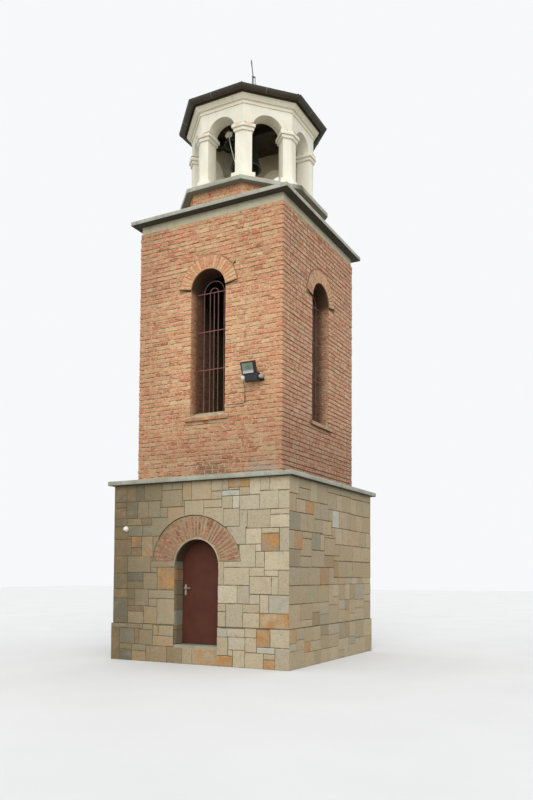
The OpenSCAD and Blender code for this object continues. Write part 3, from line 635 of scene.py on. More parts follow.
def clip(poly, nx, ny, d):
    """Keeps the part of a convex polygon where nx*x + ny*y >= d."""
    out = []
    for i, p in enumerate(poly):
        q = poly[(i + 1) % len(poly)]
        a, b = nx * p[0] + ny * p[1] - d, nx * q[0] + ny * q[1] - d
        if a >= 0:
            out.append(p)
        if a * b < 0:
            t = a / (a - b)
            out.append((p[0] + (q[0] - p[0]) * t, p[1] + (q[1] - p[1]) * t))
    return out


def area(poly):
    return 0.5 * sum(poly[i - 1][0] * p[1] - p[0] * poly[i - 1][1] for i, p in enumerate(poly))


def even_edge(point):
    """Lifts the cornice's top edge, which the photograph shows nearly as high as its middle."""
    if max(abs(point.x), abs(point.y)) > CORNICE_EDGE - 0.001 and point.z > FRIEZE_TOP + 0.03:
        point.z += CORNICE_LIFT


# Edges turned by more than the first angle are rounded, by more than the second stay sharp
ROUND_FROM, SHARP_FROM = math.radians(30), math.radians(32)


def soften(name, width, material, reshape=None):
    """Copy of a CAD node with rounded edges, in place of the sharp one."""
    mesh = nodes[name].data.copy()
    mesh.name = name + "_dressed"
    bm = bmesh.new()
    bm.from_mesh(mesh)
    bmesh.ops.remove_doubles(bm, verts=bm.verts, dist=0.0001)
    bmesh.ops.dissolve_limit(bm, angle_limit=math.radians(0.5), verts=bm.verts, edges=bm.edges)
    if reshape:
        for v in bm.verts:
            reshape(v.co)
    edges = [e for e in bm.edges if len(e.link_faces) == 2
             and e.calc_face_angle(0) > ROUND_FROM]
    bmesh.ops.bevel(bm, geom=edges, offset=width, segments=2, profile=0.5, affect="EDGES",
                    clamp_overlap=True)
    bm.to_mesh(mesh)
    bm.free()
    mesh.shade_smooth()
    mesh.set_sharp_from_angle(angle=SHARP_FROM)
    mesh.materials.clear()
    piece = place(name + "_dressed", mesh, [material])
    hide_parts(name)


def dress(material, *names):
    for name in names:
        nodes[name].data.materials.clear()
        nodes[name].data.materials.append(material)


# Brick shaft

# Lengths of the bricks within a course; a rest longer than REST_MAX takes one more of them,
# one longer than PAIR_MIN two, and one shorter than REST_MIN stays mortar
BRICK_LENGTHS = (0.22, 0.15, 0.24, 0.10, 0.11, 0.11, 0.13)
REST_MAX, PAIR_MIN, REST_MIN, PAIR_SHARES = 0.36, 0.26, 0.05, (0.5, 0.62, 0.38)
# Parts of cut bricks and stones that are smaller than this, in square metres, are left out
BRICK_CHIP, STONE_CHIP = 0.0010, 0.0012
# Height left open between courses, on the weathered sides and on the right one
WIDE_BED, THIN_BED = 0.020, 0.013
# Painted shadow: a dark strip in the gap under each foot of the window's ring, rising outwards
SLOT_Z, SLOT_RISE, SLOT_T, SLOT_X = 6.448, 0.17, 0.022, 0.586
# Chip out of the front ring, shown as a dark patch of painted shadow
CHIP = ((0.505, 6.79), (0.56, 6.785), (0.55, 6.825))
# Bricks of a window's arch: how many, where they start, and their thickness at each end
ARCH_BRICKS, ARCH_FOOT, ARCH_THIN, ARCH_THICK = 21, math.radians(7), 0.041, 0.066
HEADER, STRETCHER = 0.12, 0.25
JAMB_HEADER, JAMB_STRETCHER = 0.11, 0.23
# Share of the arch's width that a course beside it loses, and the joint round the sill
ARCH_SHARE, SILL_JOINT = 0.72, 0.006
RIGHT = 1


def fill_run(a, b, rng):
    """Brick lengths from a to b with joints between them."""
    out = []
    x = a
    while b - x > REST_MAX:
        w = rng.choice(BRICK_LENGTHS) + rng.uniform(-0.012, 0.012)
        out.append((x, x + w))
        x += w + JOINT_W
    left = b - x
    if left > PAIR_MIN:
        w = (left - JOINT_W) * rng.choice(PAIR_SHARES)
        out += [(x, x + w), (x + w + JOINT_W, b)]
    elif left > REST_MIN:
        out.append((x, b))
    return out


def brick_tone(rng):
    return min(1.0, max(0.0, rng.gauss(0.52, 0.22)))


def brick_value(rng):
    """Look of a brick; one in six is pinkish and one in six olive."""
    pink = rng.uniform(0.3, 0.9) if rng.random() < 0.17 else 0.0
    olive = rng.uniform(0.2, 0.6) if rng.random() < 0.16 else 0.0
    return value(brick_tone(rng), pink, olive)


def corner_brick(side, end, k):
    """Length, tone and shift of the brick at an end of a course, as on the next side."""
    seed = random.Random(1000 * ((side + end) % 4) + k)
    shift = seed.uniform(-0.003, 0.004)
    tone = min(0.8, max(0.3, seed.gauss(0.55, 0.08)))
    return STRETCHER if (k + end) % 2 else HEADER, tone, shift


def window_gap(z0, z1):
    """Half of the width that the sill, the window or its arch takes out of a course."""
    if z1 > SILL_FOOT - 0.004 and z0 < SILL_TOP + 0.03:
        return SILL_HALF + SILL_JOINT
    if z1 > SILL_FOOT and z0 < WIN_RING_FOOT:
        return WIN_R
    if z0 < WIN_AXIS + WIN_RING_R and z1 > WIN_RING_FOOT:
        low = max(0.0, z0 - WIN_AXIS)
        return math.sqrt(max(0.0, WIN_RING_R ** 2 - low ** 2)) * ARCH_SHARE
    return 0.0


def cut_brick(poly, x0, x1, z0, z1, under_sill):
    """Parts of a brick that stay clear of the sill, the arch and the gap at its foot."""
    if under_sill and abs(x0 + x1) < 2 * SILL_HALF:
        poly = clip(poly, 0, -1, SILL_JOINT - SILL_FOOT)
    if window_gap(z0, z1) and z1 > WIN_RING_FOOT:
        near = x0 if x0 > 0 else x1 if x1 < 0 else 0.0
        cx, cz = (near * 2 + (x0 + x1) / 2) / 3, (z0 + z1) / 2 - WIN_AXIS
        r = math.hypot(cx, cz)
        nx, nz = cx / r, cz / r
        poly = clip(poly, nx, nz, nz * WIN_AXIS + WIN_RING_R + JOINT_W / 2)
    if abs(z0 - WIN_RING_FOOT) >= 0.1 or min(abs(x0), abs(x1)) >= SLOT_X:
        return [poly]
    away = 1 if x0 > 0 else -1
    beside = clip(poly, -away, 0, 0.001 - SLOT_X)
    return [clip(beside, away * SLOT_RISE, -1, 0.003 - SLOT_Z + SLOT_RISE * WIN_R),
            clip(poly, away, 0, SLOT_X + 0.007)]


def brick_course(work, side, k):
    """One course of a side, from corner brick to corner brick."""
    rng, to3 = work.rng, side_plane(side, SHAFT)
    bed = THIN_BED if side == RIGHT else WIDE_BED
    z0 = SHAFT_Z + k * COURSE + bed / 2
    z1 = z0 + COURSE - bed
    (lw, lt, ls), (rw, rt, rs) = corner_brick(side, 0, k), corner_brick(side, 1, k)
    left, right = SHAFT + PROUD + ls, SHAFT + PROUD + rs
    foot, top = z0 + rng.uniform(-0.004, 0.004), z1 + rng.uniform(-0.004, 0.004)
    work.tile(to3, rect(-left, z0, -left + lw, z1), PROUD + ls, value(lt), keep=(3,))
    work.tile(to3, rect(right - rw, z0, right, z1), PROUD + rs, value(rt), keep=(1,))
    a, b = -left + lw + JOINT_W, right - rw - JOINT_W
    gap = window_gap(z0, z1)
    spans = [(a, -gap), (gap, b)] if gap else [(a, b)]
    under_sill = gap and z0 < SILL_FOOT - 0.03
    if under_sill:
        spans.append((JOINT_W - gap, gap - JOINT_W))
    for s0, s1 in spans:
        for x0, x1 in fill_run(s0, s1, rng):
            dz = rng.uniform(-0.003, 0.003)
            poly = [(x0, foot + dz), (x1, foot + dz + rng.uniform(-0.002, 0.002)),
                    (x1, top + dz), (x0, top + dz + rng.uniform(-0.002, 0.002))]
            for part in cut_brick(poly, x0, x1, z0, z1, under_sill):
                if len(part) > 2 and area(part) > BRICK_CHIP:
                    work.tile(to3, part, PROUD + rng.uniform(-0.004, 0.004), brick_value(rng),
                              step=0.06, wobble=0.003)


def shaft_side(side):
    """Bricks and window dressings of one side, with painted shadow under the ring's feet and, on the
    front, in a chip.
    """
    work = Mesher("shaft_bricks_%d" % side, 100 + side)
    for k in range(COURSES):
        brick_course(work, side, k)
    arch_bricks(work, side)
    jamb_bricks(work, side)
    sill_bricks(work, side)
    shadow_strips = []
    for sign in (-1, 1):
        low = [(x, SLOT_Z + SLOT_RISE * (x - WIN_R)) for x in (WIN_R + 0.002, SLOT_X)]
        high = [(x, z + SLOT_T) for x, z in reversed(low)]
        shadow_strips.append([(sign * x, z) for x, z in low + high][::sign])
    # Dark strips of painted shadow in the gaps and the chip
    for poly in shadow_strips + ([CHIP] if side == 0 else []):
        work.tile(side_plane(side, SHAFT), poly, WIN_RING_OUT + 0.002, value(0, index=1),
                  chamfer=0.0005)
    work.make(BRICK_SHADE if side == RIGHT else BRICK, SHADOW, SILL, slot="brick")


def voussoir(work, to3, zc, angle, r0, r1, t0, t1, front, look, back=BACK):
    """One brick of an arch between two radii, with its own thickness at each end."""
    c, s = math.cos(angle), math.sin(angle)
    poly = [(r * c + t * s / 2, zc + r * s - t * c / 2)
            for r, t in ((r0, t0), (r1, t1), (r1, -t1), (r0, -t0))]
    work.tile(to3, poly, front, look, back)


def pale_value(rng):
    """Look of a yellowish brick round a window, every other one orange."""
    if rng.random() < 0.5:
        return value(rng.uniform(0.35, 0.6))
    return value(rng.uniform(0.7, 0.9), 0.0, rng.uniform(0.0, 0.45))


def arch_bricks(work, side):
    rng, to3 = work.rng, side_plane(side, SHAFT)
    for i in range(ARCH_BRICKS):
        a = ARCH_FOOT + (math.pi - 2 * ARCH_FOOT) * (i + 0.5) / ARCH_BRICKS
        wide = rng.uniform(0.9, 1.1)
        voussoir(work, to3, WIN_AXIS, a, WIN_R + 0.001, WIN_RING_R - 0.002 - rng.uniform(0, 0.012),
                 ARCH_THIN * wide, ARCH_THICK * wide,
                 WIN_RING_OUT + 0.004 + rng.uniform(-0.002, 0.003), pale_value(rng), -SHAFT_T)


def turned(side, x, y, z):
    c, s = heading(side, 4)
    return (x * c - y * s, x * s + y * c, z)


def jamb_bricks(work, side):
    """Bricks of both reveals of a window, a header and a stretcher in turn."""
    for sign in (-1, 1):
        jamb = plane(turned(side, sign * WIN_R, -SHAFT, 0), turned(side, 0, -sign, 0), (0, 0, 1),
                     turned(side, -sign, 0, 0))
        for k in range(COURSES):
            z0 = SHAFT_Z + k * COURSE + THIN_BED / 2
            z1 = z0 + COURSE - THIN_BED
            if z0 < WIN_FOOT - 0.05 or z1 > WIN_RING_FOOT:
                continue
            cut = JAMB_HEADER if k % 2 else JAMB_STRETCHER
            for y0, y1 in ((0.0, cut), (cut + JOINT_W, SHAFT_T)):
                lo, hi = (y0, y1) if sign < 0 else (-y1, -y0)
                # Darker tones in the reveal, as painted shade
                work.tile(jamb, rect(lo, z0, hi, z1), 0.002, value(brick_tone(work.rng) * 0.7),
                          chamfer=0.003)


def sill_bricks(work, side):
    """Bricks of the sill's face, and the mortar that slopes up from them to the grille."""
    rng, sill = work.rng, side_plane(side, SHAFT + SILL_OUT)
    # The right side's sill bricks are greyer, as painted shade
    shaded_side_grey = 0.6 if side == RIGHT else 0.15
    x = -SILL_HALF
    while x < SILL_HALF - 0.03:
        w = min(HEADER if rng.random() < 0.6 else STRETCHER, SILL_HALF - x)
        if SILL_HALF - (x + w) < 0.06:
            w = SILL_HALF - x
        face = rect(x + HALF_JOINT, SILL_FOOT + 0.001, x + w - HALF_JOINT, SILL_TOP - HALF_JOINT)
        work.tile(sill, face, 0.002, value(rng.uniform(0.0, 0.3), 0.0, shaded_side_grey), back=-0.02,
                  chamfer=0.003)
        x += w
    rise = math.atan2(WIN_FOOT - SILL_TOP, SILL_OUT + GRILLE_DEPTH)
    lip = SILL_OUT / math.cos(rise)
    deep = lip / SILL_OUT * (SILL_OUT + GRILLE_DEPTH) - 0.004
    slope = plane(turned(side, 0, -SHAFT - SILL_OUT, SILL_TOP), turned(side, 1, 0, 0),
                  turned(side, 0, math.cos(rise), math.sin(rise)),
                  turned(side, 0, -math.sin(rise), math.cos(rise)))
    for half, v0, v1 in ((SILL_HALF, 0.0, lip), (WIN_R - 0.002, lip, deep)):
        work.tile(slope, rect(-half, v0, half, v1), 0.003, value(0, index=2), chamfer=0.002,
                  wobble=0.002)


# Stone storey

# Stones listed one by one: left, foot, right and top in millimetres, then a digit each for
# how pale, how rusty and how grey the stone is
FRONT_STONES = """
-103 2740 290 3060 640, 290 2872 500 3060 610, 290 2737 500 2868 510, 500 2880 625 3060 520,
625 2918 1022 3060 590, 629 2878 831 2914 640, 500 2783 835 2874 729, 835 2783 1022 2914 630,
1022 2783 1225 3060 802, 1225 2842 1398 3060 711, 1398 2835 1750 3060 810, 1210 2542 1555 2836 701,
1555 2542 1750 2830 701, 502 2577 707 2778 611, 707 2575 840 2778 804, 840 2542 1210 2778 712,
145 2602 500 2733 620, -245 2300 145 2736 620, 145 2280 530 2598 620, 530 2280 840 2572 611,
840 2265 985 2538 604, 985 2242 1410 2538 611, 1410 2450 1750 2538 700, 1410 2242 1750 2446 800,
600 1985 960 2276 613, 962 1985 1248 2238 800, 1248 2155 1570 2238 710, 1248 1865 1576 2150 499,
1578 1865 1750 2238 612, 842 1612 1142 1980 701, 1142 1865 1248 1982 812, 1145 1612 1306 1862 701,
1310 1564 1750 1862 800, 400 1322 545 1706 621, 545 1612 882 1706 701, 545 1322 1030 1608 711,
1032 1468 1310 1608 710, 1312 1468 1556 1562 800, 1558 1172 1750 1560 611, 1035 1180 1438 1464 720,
1440 1175 1556 1464 701, 400 1022 806 1316 801, 808 1022 1032 1316 623, 1036 1022 1222 1174 702,
1225 880 1388 1174 701, 1390 878 1750 1168 605, 400 890 586 1018 610, 400 640 586 886 610,
590 640 910 1018 633, 912 880 1222 1018 620, 915 640 1220 876 710, 1224 640 1750 876 790,
-1750 2762 -1480 3060 340, -1480 2762 -1282 3060 340, -1280 2762 -1092 3060 224,
-1090 2762 -716 3060 330, -712 2935 -500 3060 420, -500 2935 -292 3060 412, -712 2642 -292 2930 431,
-288 2742 -106 3060 550, -289 2640 -247 2738 430, -748 2642 -714 2758 430, -1442 2108 -1373 2151 350,
-938 1720 -900 1798 430, -1750 2662 -1482 2758 330, -1750 2470 -1482 2658 340,
-1480 2470 -1238 2758 311, -1235 2470 -1002 2758 430, -1000 2470 -752 2758 411, -750 2470 -592 2638 421,
-590 2200 -250 2636 562, -1750 2332 -1452 2466 330, -1450 2345 -1152 2466 450, -1150 2345 -932 2466 331,
-930 2150 -560 2466 420, -1120 2152 -700 2340 413, -1440 2155 -1124 2342 425, -1750 2108 -1444 2328 340,
-1750 1815 -1370 2104 340, -1366 1955 -1140 2150 277, -1366 1812 -1140 1952 350,
-1136 1802 -900 2148 577, -896 1720 -700 2148 431, -1750 1512 -1446 1811 340, -1750 1238 -1446 1508 330,
-1442 1528 -940 1808 430, -936 1616 -400 1716 431, -936 1520 -800 1612 420, -796 1228 -400 1612 386,
-1442 1376 -1104 1524 216, -1442 1240 -1104 1372 331, -1100 1238 -800 1516 430,
-1750 1076 -1432 1234 350, -1430 1062 -1284 1234 330, -1280 948 -982 1234 421, -978 1080 -400 1224 521,
-978 946 -798 1076 520, -794 642 -400 1074 630, -1750 642 -1430 1070 313, -1428 948 -1286 1058 340,
-1428 848 -1086 944 330, -1426 642 -1086 844 640, -1082 642 -798 942 550"""
FRONT_PLINTH_STONES = """
408 478 632 620 606, 632 486 966 620 702, 968 488 1180 632 720, 1183 345 1430 620 490,
1432 345 1770 635 701, 400 178 646 474 620, 650 278 968 482 702, 972 250 1184 484 720,
1188 246 1516 341 708, 1520 0 1770 341 612, 650 178 738 274 720, 742 0 968 274 720, 972 0 1308 246 720,
1312 152 1516 242 630, 1312 0 1516 148 580, 400 0 738 174 490, -1770 562 -1430 635 540,
-1426 556 -1160 635 440, -1156 556 -1086 635 430, -1082 545 -866 635 540, -862 450 -750 622 560,
-746 450 -400 624 630, -1770 0 -1590 558 340, -1586 290 -1260 552 425, -1256 290 -1160 552 360,
-1156 285 -870 541 430, -866 275 -400 446 660, -1586 190 -1324 286 440, -1320 175 -1014 286 521,
-1586 0 -1324 186 315, -1316 0 -1014 171 560, -1010 0 -570 272 440, -566 0 -254 268 340,
-250 0 -54 268 540, -50 0 404 268 582"""
RIGHT_STONES = """
-1750 2792 -1427 3060 520, -1750 2500 -1517 2786 430, -1515 2500 -1182 2712 520,
-1180 2500 -880 2712 499, -1425 2718 -1080 2900 421, -1425 2905 -992 3060 411, -1078 2718 -992 2900 421,
-990 2718 -722 3060 520, -718 2718 -312 3060 421, -876 2435 -602 2712 421, -598 2435 -272 2712 412,
-308 2645 80 2935 421, 84 2645 350 2935 520, 354 2645 720 2935 430, 724 2630 1000 2920 530,
1004 2630 1300 2920 421, 1304 2630 1750 2924 420, -308 2940 250 3060 411, 254 2940 720 3060 421,
724 2926 1200 3060 410, 1204 2930 1750 3060 420, -1750 2205 -1382 2496 316, -1378 2205 -1100 2496 411,
-1096 2205 -832 2496 430, -828 2205 -512 2430 412, -508 2186 -150 2430 540, -268 2440 -96 2640 421,
-92 2335 190 2640 709, 196 2335 560 2640 541, 564 2335 700 2640 421, 704 2325 1000 2622 430,
1004 2325 1300 2622 540, 1304 2322 1750 2622 430, -1750 1905 -1562 2198 421, -1558 1905 -1292 2198 498,
-1288 2090 -942 2198 430, -1288 1800 -942 2084 420, -938 1910 -602 2198 316, -598 1910 -434 2182 550,
-430 2140 -104 2180 420, -430 1835 26 2134 430, -146 2186 -96 2330 420, 30 2040 330 2330 631,
334 2040 630 2330 520, 634 2035 1150 2320 560, 1154 2030 1500 2318 421, 1504 2030 1750 2316 530,
30 1835 200 2034 420, 204 1745 830 2034 430, 834 1745 1250 2028 540, 1254 1745 1750 2024 541,
-1750 1620 -1372 1900 311, -1368 1620 -942 1794 421, -938 1625 -442 1904 421, -438 1625 -34 1828 350,
-30 1455 150 1740 360, 154 1450 500 1740 441, 504 1450 830 1738 430, 834 1446 1300 1738 441,
1304 1436 1750 1736 440, -1750 1325 -1352 1614 412, -1348 1325 -1052 1614 421, -1048 1325 -622 1618 411,
-618 1325 -232 1618 387, -228 1325 -34 1618 430, -1750 1028 -1132 1318 410, -1128 1028 -702 1318 411,
-698 1028 -250 1318 430, -1750 640 -1350 1022 540, -1346 760 -900 1022 430, -30 1745 200 1831 440,
-92 2138 26 2331 450, -1368 1798 -1292 1901 420, -1513 2716 -1429 2788 430, -148 2334 -96 2436 430"""
STONE_GAP, STONE_PROUD = 0.0035, 0.007
WALL_FOOT = PLINTH_H + 0.005
# Stretches of the right wall that the photograph hides, and shares of the height that the
# rows of stones have on the back and the left wall
RIGHT_HIDDEN = ((-0.9, WALL_FOOT, -0.25, 1.025), (-1.35, WALL_FOOT, -0.9, 0.76),
                (-0.25, WALL_FOOT, STONE, 1.325), (-0.25, 1.325, STONE, 1.443))
ROW_SHARES = (0.24, 0.27, 0.23, 0.26)
# Faces of the door's jambs: where they start and end behind the wall's face, then the top
# level and look of each stone from the threshold up
JAMB_START, JAMB_END = 0.002, 0.244
JAMB_STONES = ((0.556, value(0.4, 0.3)), (0.624, value(0.4, 0.85)), (0.884, value(0.75, 0.0, 0.7)),
               (1.144, value(0.4, 0.35)), (1.39, value(0.4, 0.4)), (1.58, value(0.5, 0.9)),
               (RING_FOOT, value(0.4, 0.2, 0.5)))


def placed_stones(text):
    out = []
    for entry in text.split(","):
        *sizes, look = entry.split()
        out.append((*(int(size) / 1000 for size in sizes), value(*(int(d) / 9 for d in look))))
    return out


def split_stones(x0, z0, x1, z1, rng):
    """Divides a stretch of wall into stones by cuts across it."""
    w, h = x1 - x0, z1 - z0
    if (w < 0.46 and h < 0.34 and w < 2.6 * h + 0.1) or (w < 0.2 and h < 0.42) or h < 0.13:
        if w < 0.5:
            return [(x0, z0, x1, z1, stone_value(rng))]
    if w > h * rng.uniform(0.9, 1.7) or h < 0.2:
        cut = x0 + w * rng.uniform(0.34, 0.66)
        return split_stones(x0, z0, cut, z1, rng) + split_stones(cut, z0, x1, z1, rng)
    cut = z0 + h * rng.uniform(0.34, 0.66)
    return split_stones(x0, z0, x1, cut, rng) + split_stones(x0, cut, x1, z1, rng)


def stone_value(rng):
    tone = min(0.9, max(0.3, rng.gauss(0.52, 0.1)))
    rust = rng.uniform(0.6, 1.0) if rng.random() < 0.06 else rng.uniform(0.0, 0.35)
    grey = rng.uniform(0.3, 0.7) if rng.random() < 0.15 else 0.0
    return value(tone, rust, grey)


def stone_list(side, rng):
    """Stones of the wall and of its plinth; what the photograph hides is filled in."""
    edge = STONE + PLINTH_OUT
    if side == 0:
        return placed_stones(FRONT_STONES), placed_stones(FRONT_PLINTH_STONES)
    plinth = split_stones(-edge, 0, edge, PLINTH_H, rng)
    if side == RIGHT:
        wall = placed_stones(RIGHT_STONES)
        for stretch in RIGHT_HIDDEN:
            wall += split_stones(*stretch, rng)
        return wall, plinth
    wall = []
    z = WALL_FOOT
    for share in ROW_SHARES:
        top = z + share * (STONE_H - WALL_FOOT)
        wall += split_stones(-STONE, z, STONE, top, rng)
        z = top
    return wall, plinth


def beside_door(poly, x0, z0, x1, z1):
    """Cuts a front stone back to the brick ring or to the doorway."""
    cx, cz = (x0 + x1) / 2, (z0 + z1) / 2
    if z1 > RING_FOOT + 0.03 and math.hypot(cx, cz - DOOR_AXIS) < RING_R + 0.45:
        return beside_ring(poly)
    if FLOOR_Z < z1 and z0 < RING_FOOT and abs(cx) > DOOR_R - 0.05:
        return clip(poly, 1 if cx > 0 else -1, 0, DOOR_R)
    return poly


def stone_side(side, name):
    """Stones of one side, those at its ends flush with the corners."""
    work = Mesher(name, 500 + side)
    wall, plinth = stone_list(side, work.rng)
    for stones, reach in ((wall, STONE), (plinth, STONE + PLINTH_OUT)):
        to3 = side_plane(side, reach)
        for x0, z0, x1, z1, look in stones:
            at_left, at_right = x0 < -reach + 0.01, x1 > reach - 0.01
            x0, x1 = max(x0, -reach), min(x1, reach)
            poly = rect(x0 + (0 if at_left else STONE_GAP), z0 + STONE_GAP,
                        x1 - (0 if at_right else STONE_GAP), z1 - STONE_GAP)
            if side == 0:
                poly = beside_door(poly, x0, z0, x1, z1)
            keep = [i for i, at in ((1, at_right), (3, at_left)) if at and len(poly) == 4]
            if len(poly) > 2 and area(poly) > STONE_CHIP:
                work.tile(to3, poly, STONE_PROUD + work.rng.uniform(-0.002, 0.003), look, chamfer=0.003,
                          step=0.07, wobble=0.003, bulge=0.002, keep=keep)
    if side == 0:
        door_jambs(work)
    work.make(SANDSTONE, slot="sandstone")


def ring_edge(a):
    """Outer radius of the door's ring at an angle from +X; its left haunch is fuller."""
    return (RING_R + RING_FLAT * math.cos(2 * a)
            - RING_LEAN * (math.cos(a) - math.cos(3 * a) / 3))


def beside_ring(poly):
    """Moves what lies under the brick ring out to the ring's edge."""
    out = []
    for i, p in enumerate(poly):
        q = poly[(i + 1) % len(poly)]
        parts = max(1, round(math.hypot(q[0] - p[0], q[1] - p[1]) / 0.03))
        for k in range(parts):
            x = p[0] + (q[0] - p[0]) * k / parts
            z = p[1] + (q[1] - p[1]) * k / parts - DOOR_AXIS
            r = math.hypot(x, z)
            reach = ring_edge(math.atan2(z, x)) + RING_GAP
            if r < reach:
                x, z = x * reach / r, z * reach / r
            if not out or math.hypot(x - out[-1][0], z + DOOR_AXIS - out[-1][1]) > 0.006:
                out.append((x, z + DOOR_AXIS))
    return out


def door_jambs(work):
    """Faces of the stones that turn into the doorway, the same on both sides."""
    for sign in (-1, 1):
        to3 = plane((sign * DOOR_R, -STONE, 0), (0, -sign, 0), (0, 0, 1), (-sign, 0, 0))
        lo, hi = (JAMB_START, JAMB_END) if sign < 0 else (-JAMB_END, -JAMB_START)
        z = THRESHOLD_Z + HALF_JOINT
        for top, look in JAMB_STONES:
            work.tile(to3, rect(lo, z + HALF_JOINT, hi, top - HALF_JOINT), 0.002, look,
                      back=-0.003, chamfer=0.002)
            z = top


# Brick ring over the door
RING_BRICKS, PLASTER_R, RING_GAP = 29, 0.457, 0.010
# Thickness of the bricks at the plaster and at the outer edge, least and most
RING_THIN, RING_THICK = (0.020, 0.036), (0.034, 0.060)


def ring_value(rng):
    return value(rng.uniform(0.05, 0.6), rng.uniform(0.0, 0.7))


def door_ring():
    """Thin bricks on edge that radiate round the door arch, under a painted shadow along its top."""
    work = Mesher("door_ring_bricks", 77)
    rng, to3 = work.rng, side_plane(0, STONE)
    foot = math.asin((RING_FOOT - DOOR_AXIS) / RING_R)
    step = (math.pi - 2 * foot) / RING_BRICKS
    for i in range(RING_BRICKS):
        a = foot + step * (i + 0.5) + rng.uniform(-0.018, 0.018)
        r0 = PLASTER_R + rng.uniform(0.006, 0.03)
        r1 = ring_edge(a) - rng.uniform(0.012, 0.03 if math.cos(a) > -0.2 else 0.09)
        t0, t1 = rng.uniform(*RING_THIN), rng.uniform(*RING_THICK)
        split = r0 + (r1 - r0) * rng.choice((0.38, 0.62, 0.5, 0.3, 1.0))
        tm = t0 + (t1 - t0) * (split - r0) / (r1 - r0)
        look = ring_value(rng)
        front = 0.004 + rng.uniform(-0.001, 0.002)
        voussoir(work, to3, DOOR_AXIS, a, r0, split, t0, tm, front, look)
        if split < r1:
            voussoir(work, to3, DOOR_AXIS, a + rng.uniform(-0.01, 0.01), split + 0.014, r1, tm, t1,
                     front, ring_value(rng))
    arc(work, lambda a: (PLASTER_R, DOOR_R - 0.001), foot, math.pi - foot, 0.006,
        value(0.5, index=1))
    # Painted shadow in the gap between the ring's top and the stones
    arc(work, lambda a: (ring_edge(a) + RING_GAP, ring_edge(a) - 0.004), math.radians(50),
        math.radians(150), 0.002, value(0, index=2))
    work.make(BRICK_DOOR, PLASTER, SHADOW, slot="brick")


def arc(work, radii, start, stop, front, look, steps=40):
    """Flat band between two radii round the door's arch, standing a little proud."""
    to3 = side_plane(0, STONE)
    for i in range(steps):
        base = len(work.verts)
        for k in (i, i + 1):
            a = start + (stop - start) * k / steps
            c, s = math.cos(a), math.sin(a)
            outer, inner = radii(a)
            for r, out in ((outer, -0.003), (outer, front), (inner, front), (inner, -0.003)):
                work.verts.append(to3(r * c, DOOR_AXIS + r * s, out))
        for b in range(base, base + 3):
            work.faces.append((b, b + 4, b + 5, b + 1))
            work.looks.append(look)


# Octagonal drum and the kerbs on it
DRUM_COURSES, SOLDIER, SOLDIER_W, SOLDIER_STEP = 4, 0.12, 0.06, 0.078
KERB_BRICK, KERB_STEP, KERB_SHIFT, KERB_JOINT = 0.112, 0.124, 0.06, 0.012


def drum_bricks():
    """Four courses on each side of the drum and a row of bricks on end over them."""
    work = Mesher("drum_bricks", 31)
    rng = work.rng
    half = DRUM * math.tan(math.pi / 8)
    foot = DRUM_TOP - SOLDIER
    pitch = (foot - DRUM_Z) / DRUM_COURSES
    for side in range(8):
        to3 = side_plane(side, DRUM, 8)
        for k in range(DRUM_COURSES):
            z0 = DRUM_Z + k * pitch + WIDE_BED / 2
            z1 = z0 + pitch - WIDE_BED
            for x0, x1 in fill_run(-half, half, rng):
                work.tile(to3, rect(x0, z0, x1, z1), PROUD + rng.uniform(-0.002, 0.002),
                          brick_value(rng))
        x = -half + HALF_JOINT
        while x < half - 0.03:
            w = min(SOLDIER_W, half - x)
            work.tile(to3, rect(x, foot + HALF_JOINT, x + w, DRUM_TOP - HALF_JOINT),
                      PROUD + rng.uniform(-0.002, 0.003), value(brick_tone(rng)))
            x += SOLDIER_STEP
    work.make(BRICK_TOP, slot="brick")


def kerb_run(shift):
    """Stretches of the bricks in one course of a kerb."""
    out = []
    x = -KERB_HALF - shift
    while x < KERB_HALF:
        low, high = max(x, -KERB_HALF), min(x + KERB_BRICK, KERB_HALF)
        if high - low > 0.02:
            out.append((low, high))
        x += KERB_STEP
    return out


def kerb_bricks():
    """Bricks that face and top the low kerb in each arch of the belfry."""
    work = Mesher("kerb_bricks", 47)
    middle, inner = (BELFRY_Z + KERB_TOP) / 2, KERB_OUT - KERB_T
    courses = ((BELFRY_Z, middle - KERB_JOINT / 2, 0.0),
               (middle + KERB_JOINT / 2, KERB_TOP, KERB_SHIFT))
    for side in range(8):
        c, s = heading(side, 8)
        room = plane((s * inner, -c * inner, 0), (-c, -s, 0), (0, 0, 1), (-s, c, 0))
        top = plane((s * KERB_OUT, -c * KERB_OUT, KERB_TOP), (c, s, 0), (-s, c, 0), (0, 0, 1))
        rows = [(face, *course) for face in (side_plane(side, KERB_OUT, 8), room)
                for course in courses]
        for to3, z0, z1, shift in rows + [(top, 0.0, KERB_T, 0.0)]:
            for x0, x1 in kerb_run(shift):
                work.tile(to3, rect(x0, z0, x1, z1), 0.003, value(brick_tone(work.rng)),
                          back=-0.003, chamfer=0.003)
    work.make(BRICK_TOP, slot="brick")


# Bell rope, lamps and roof trim

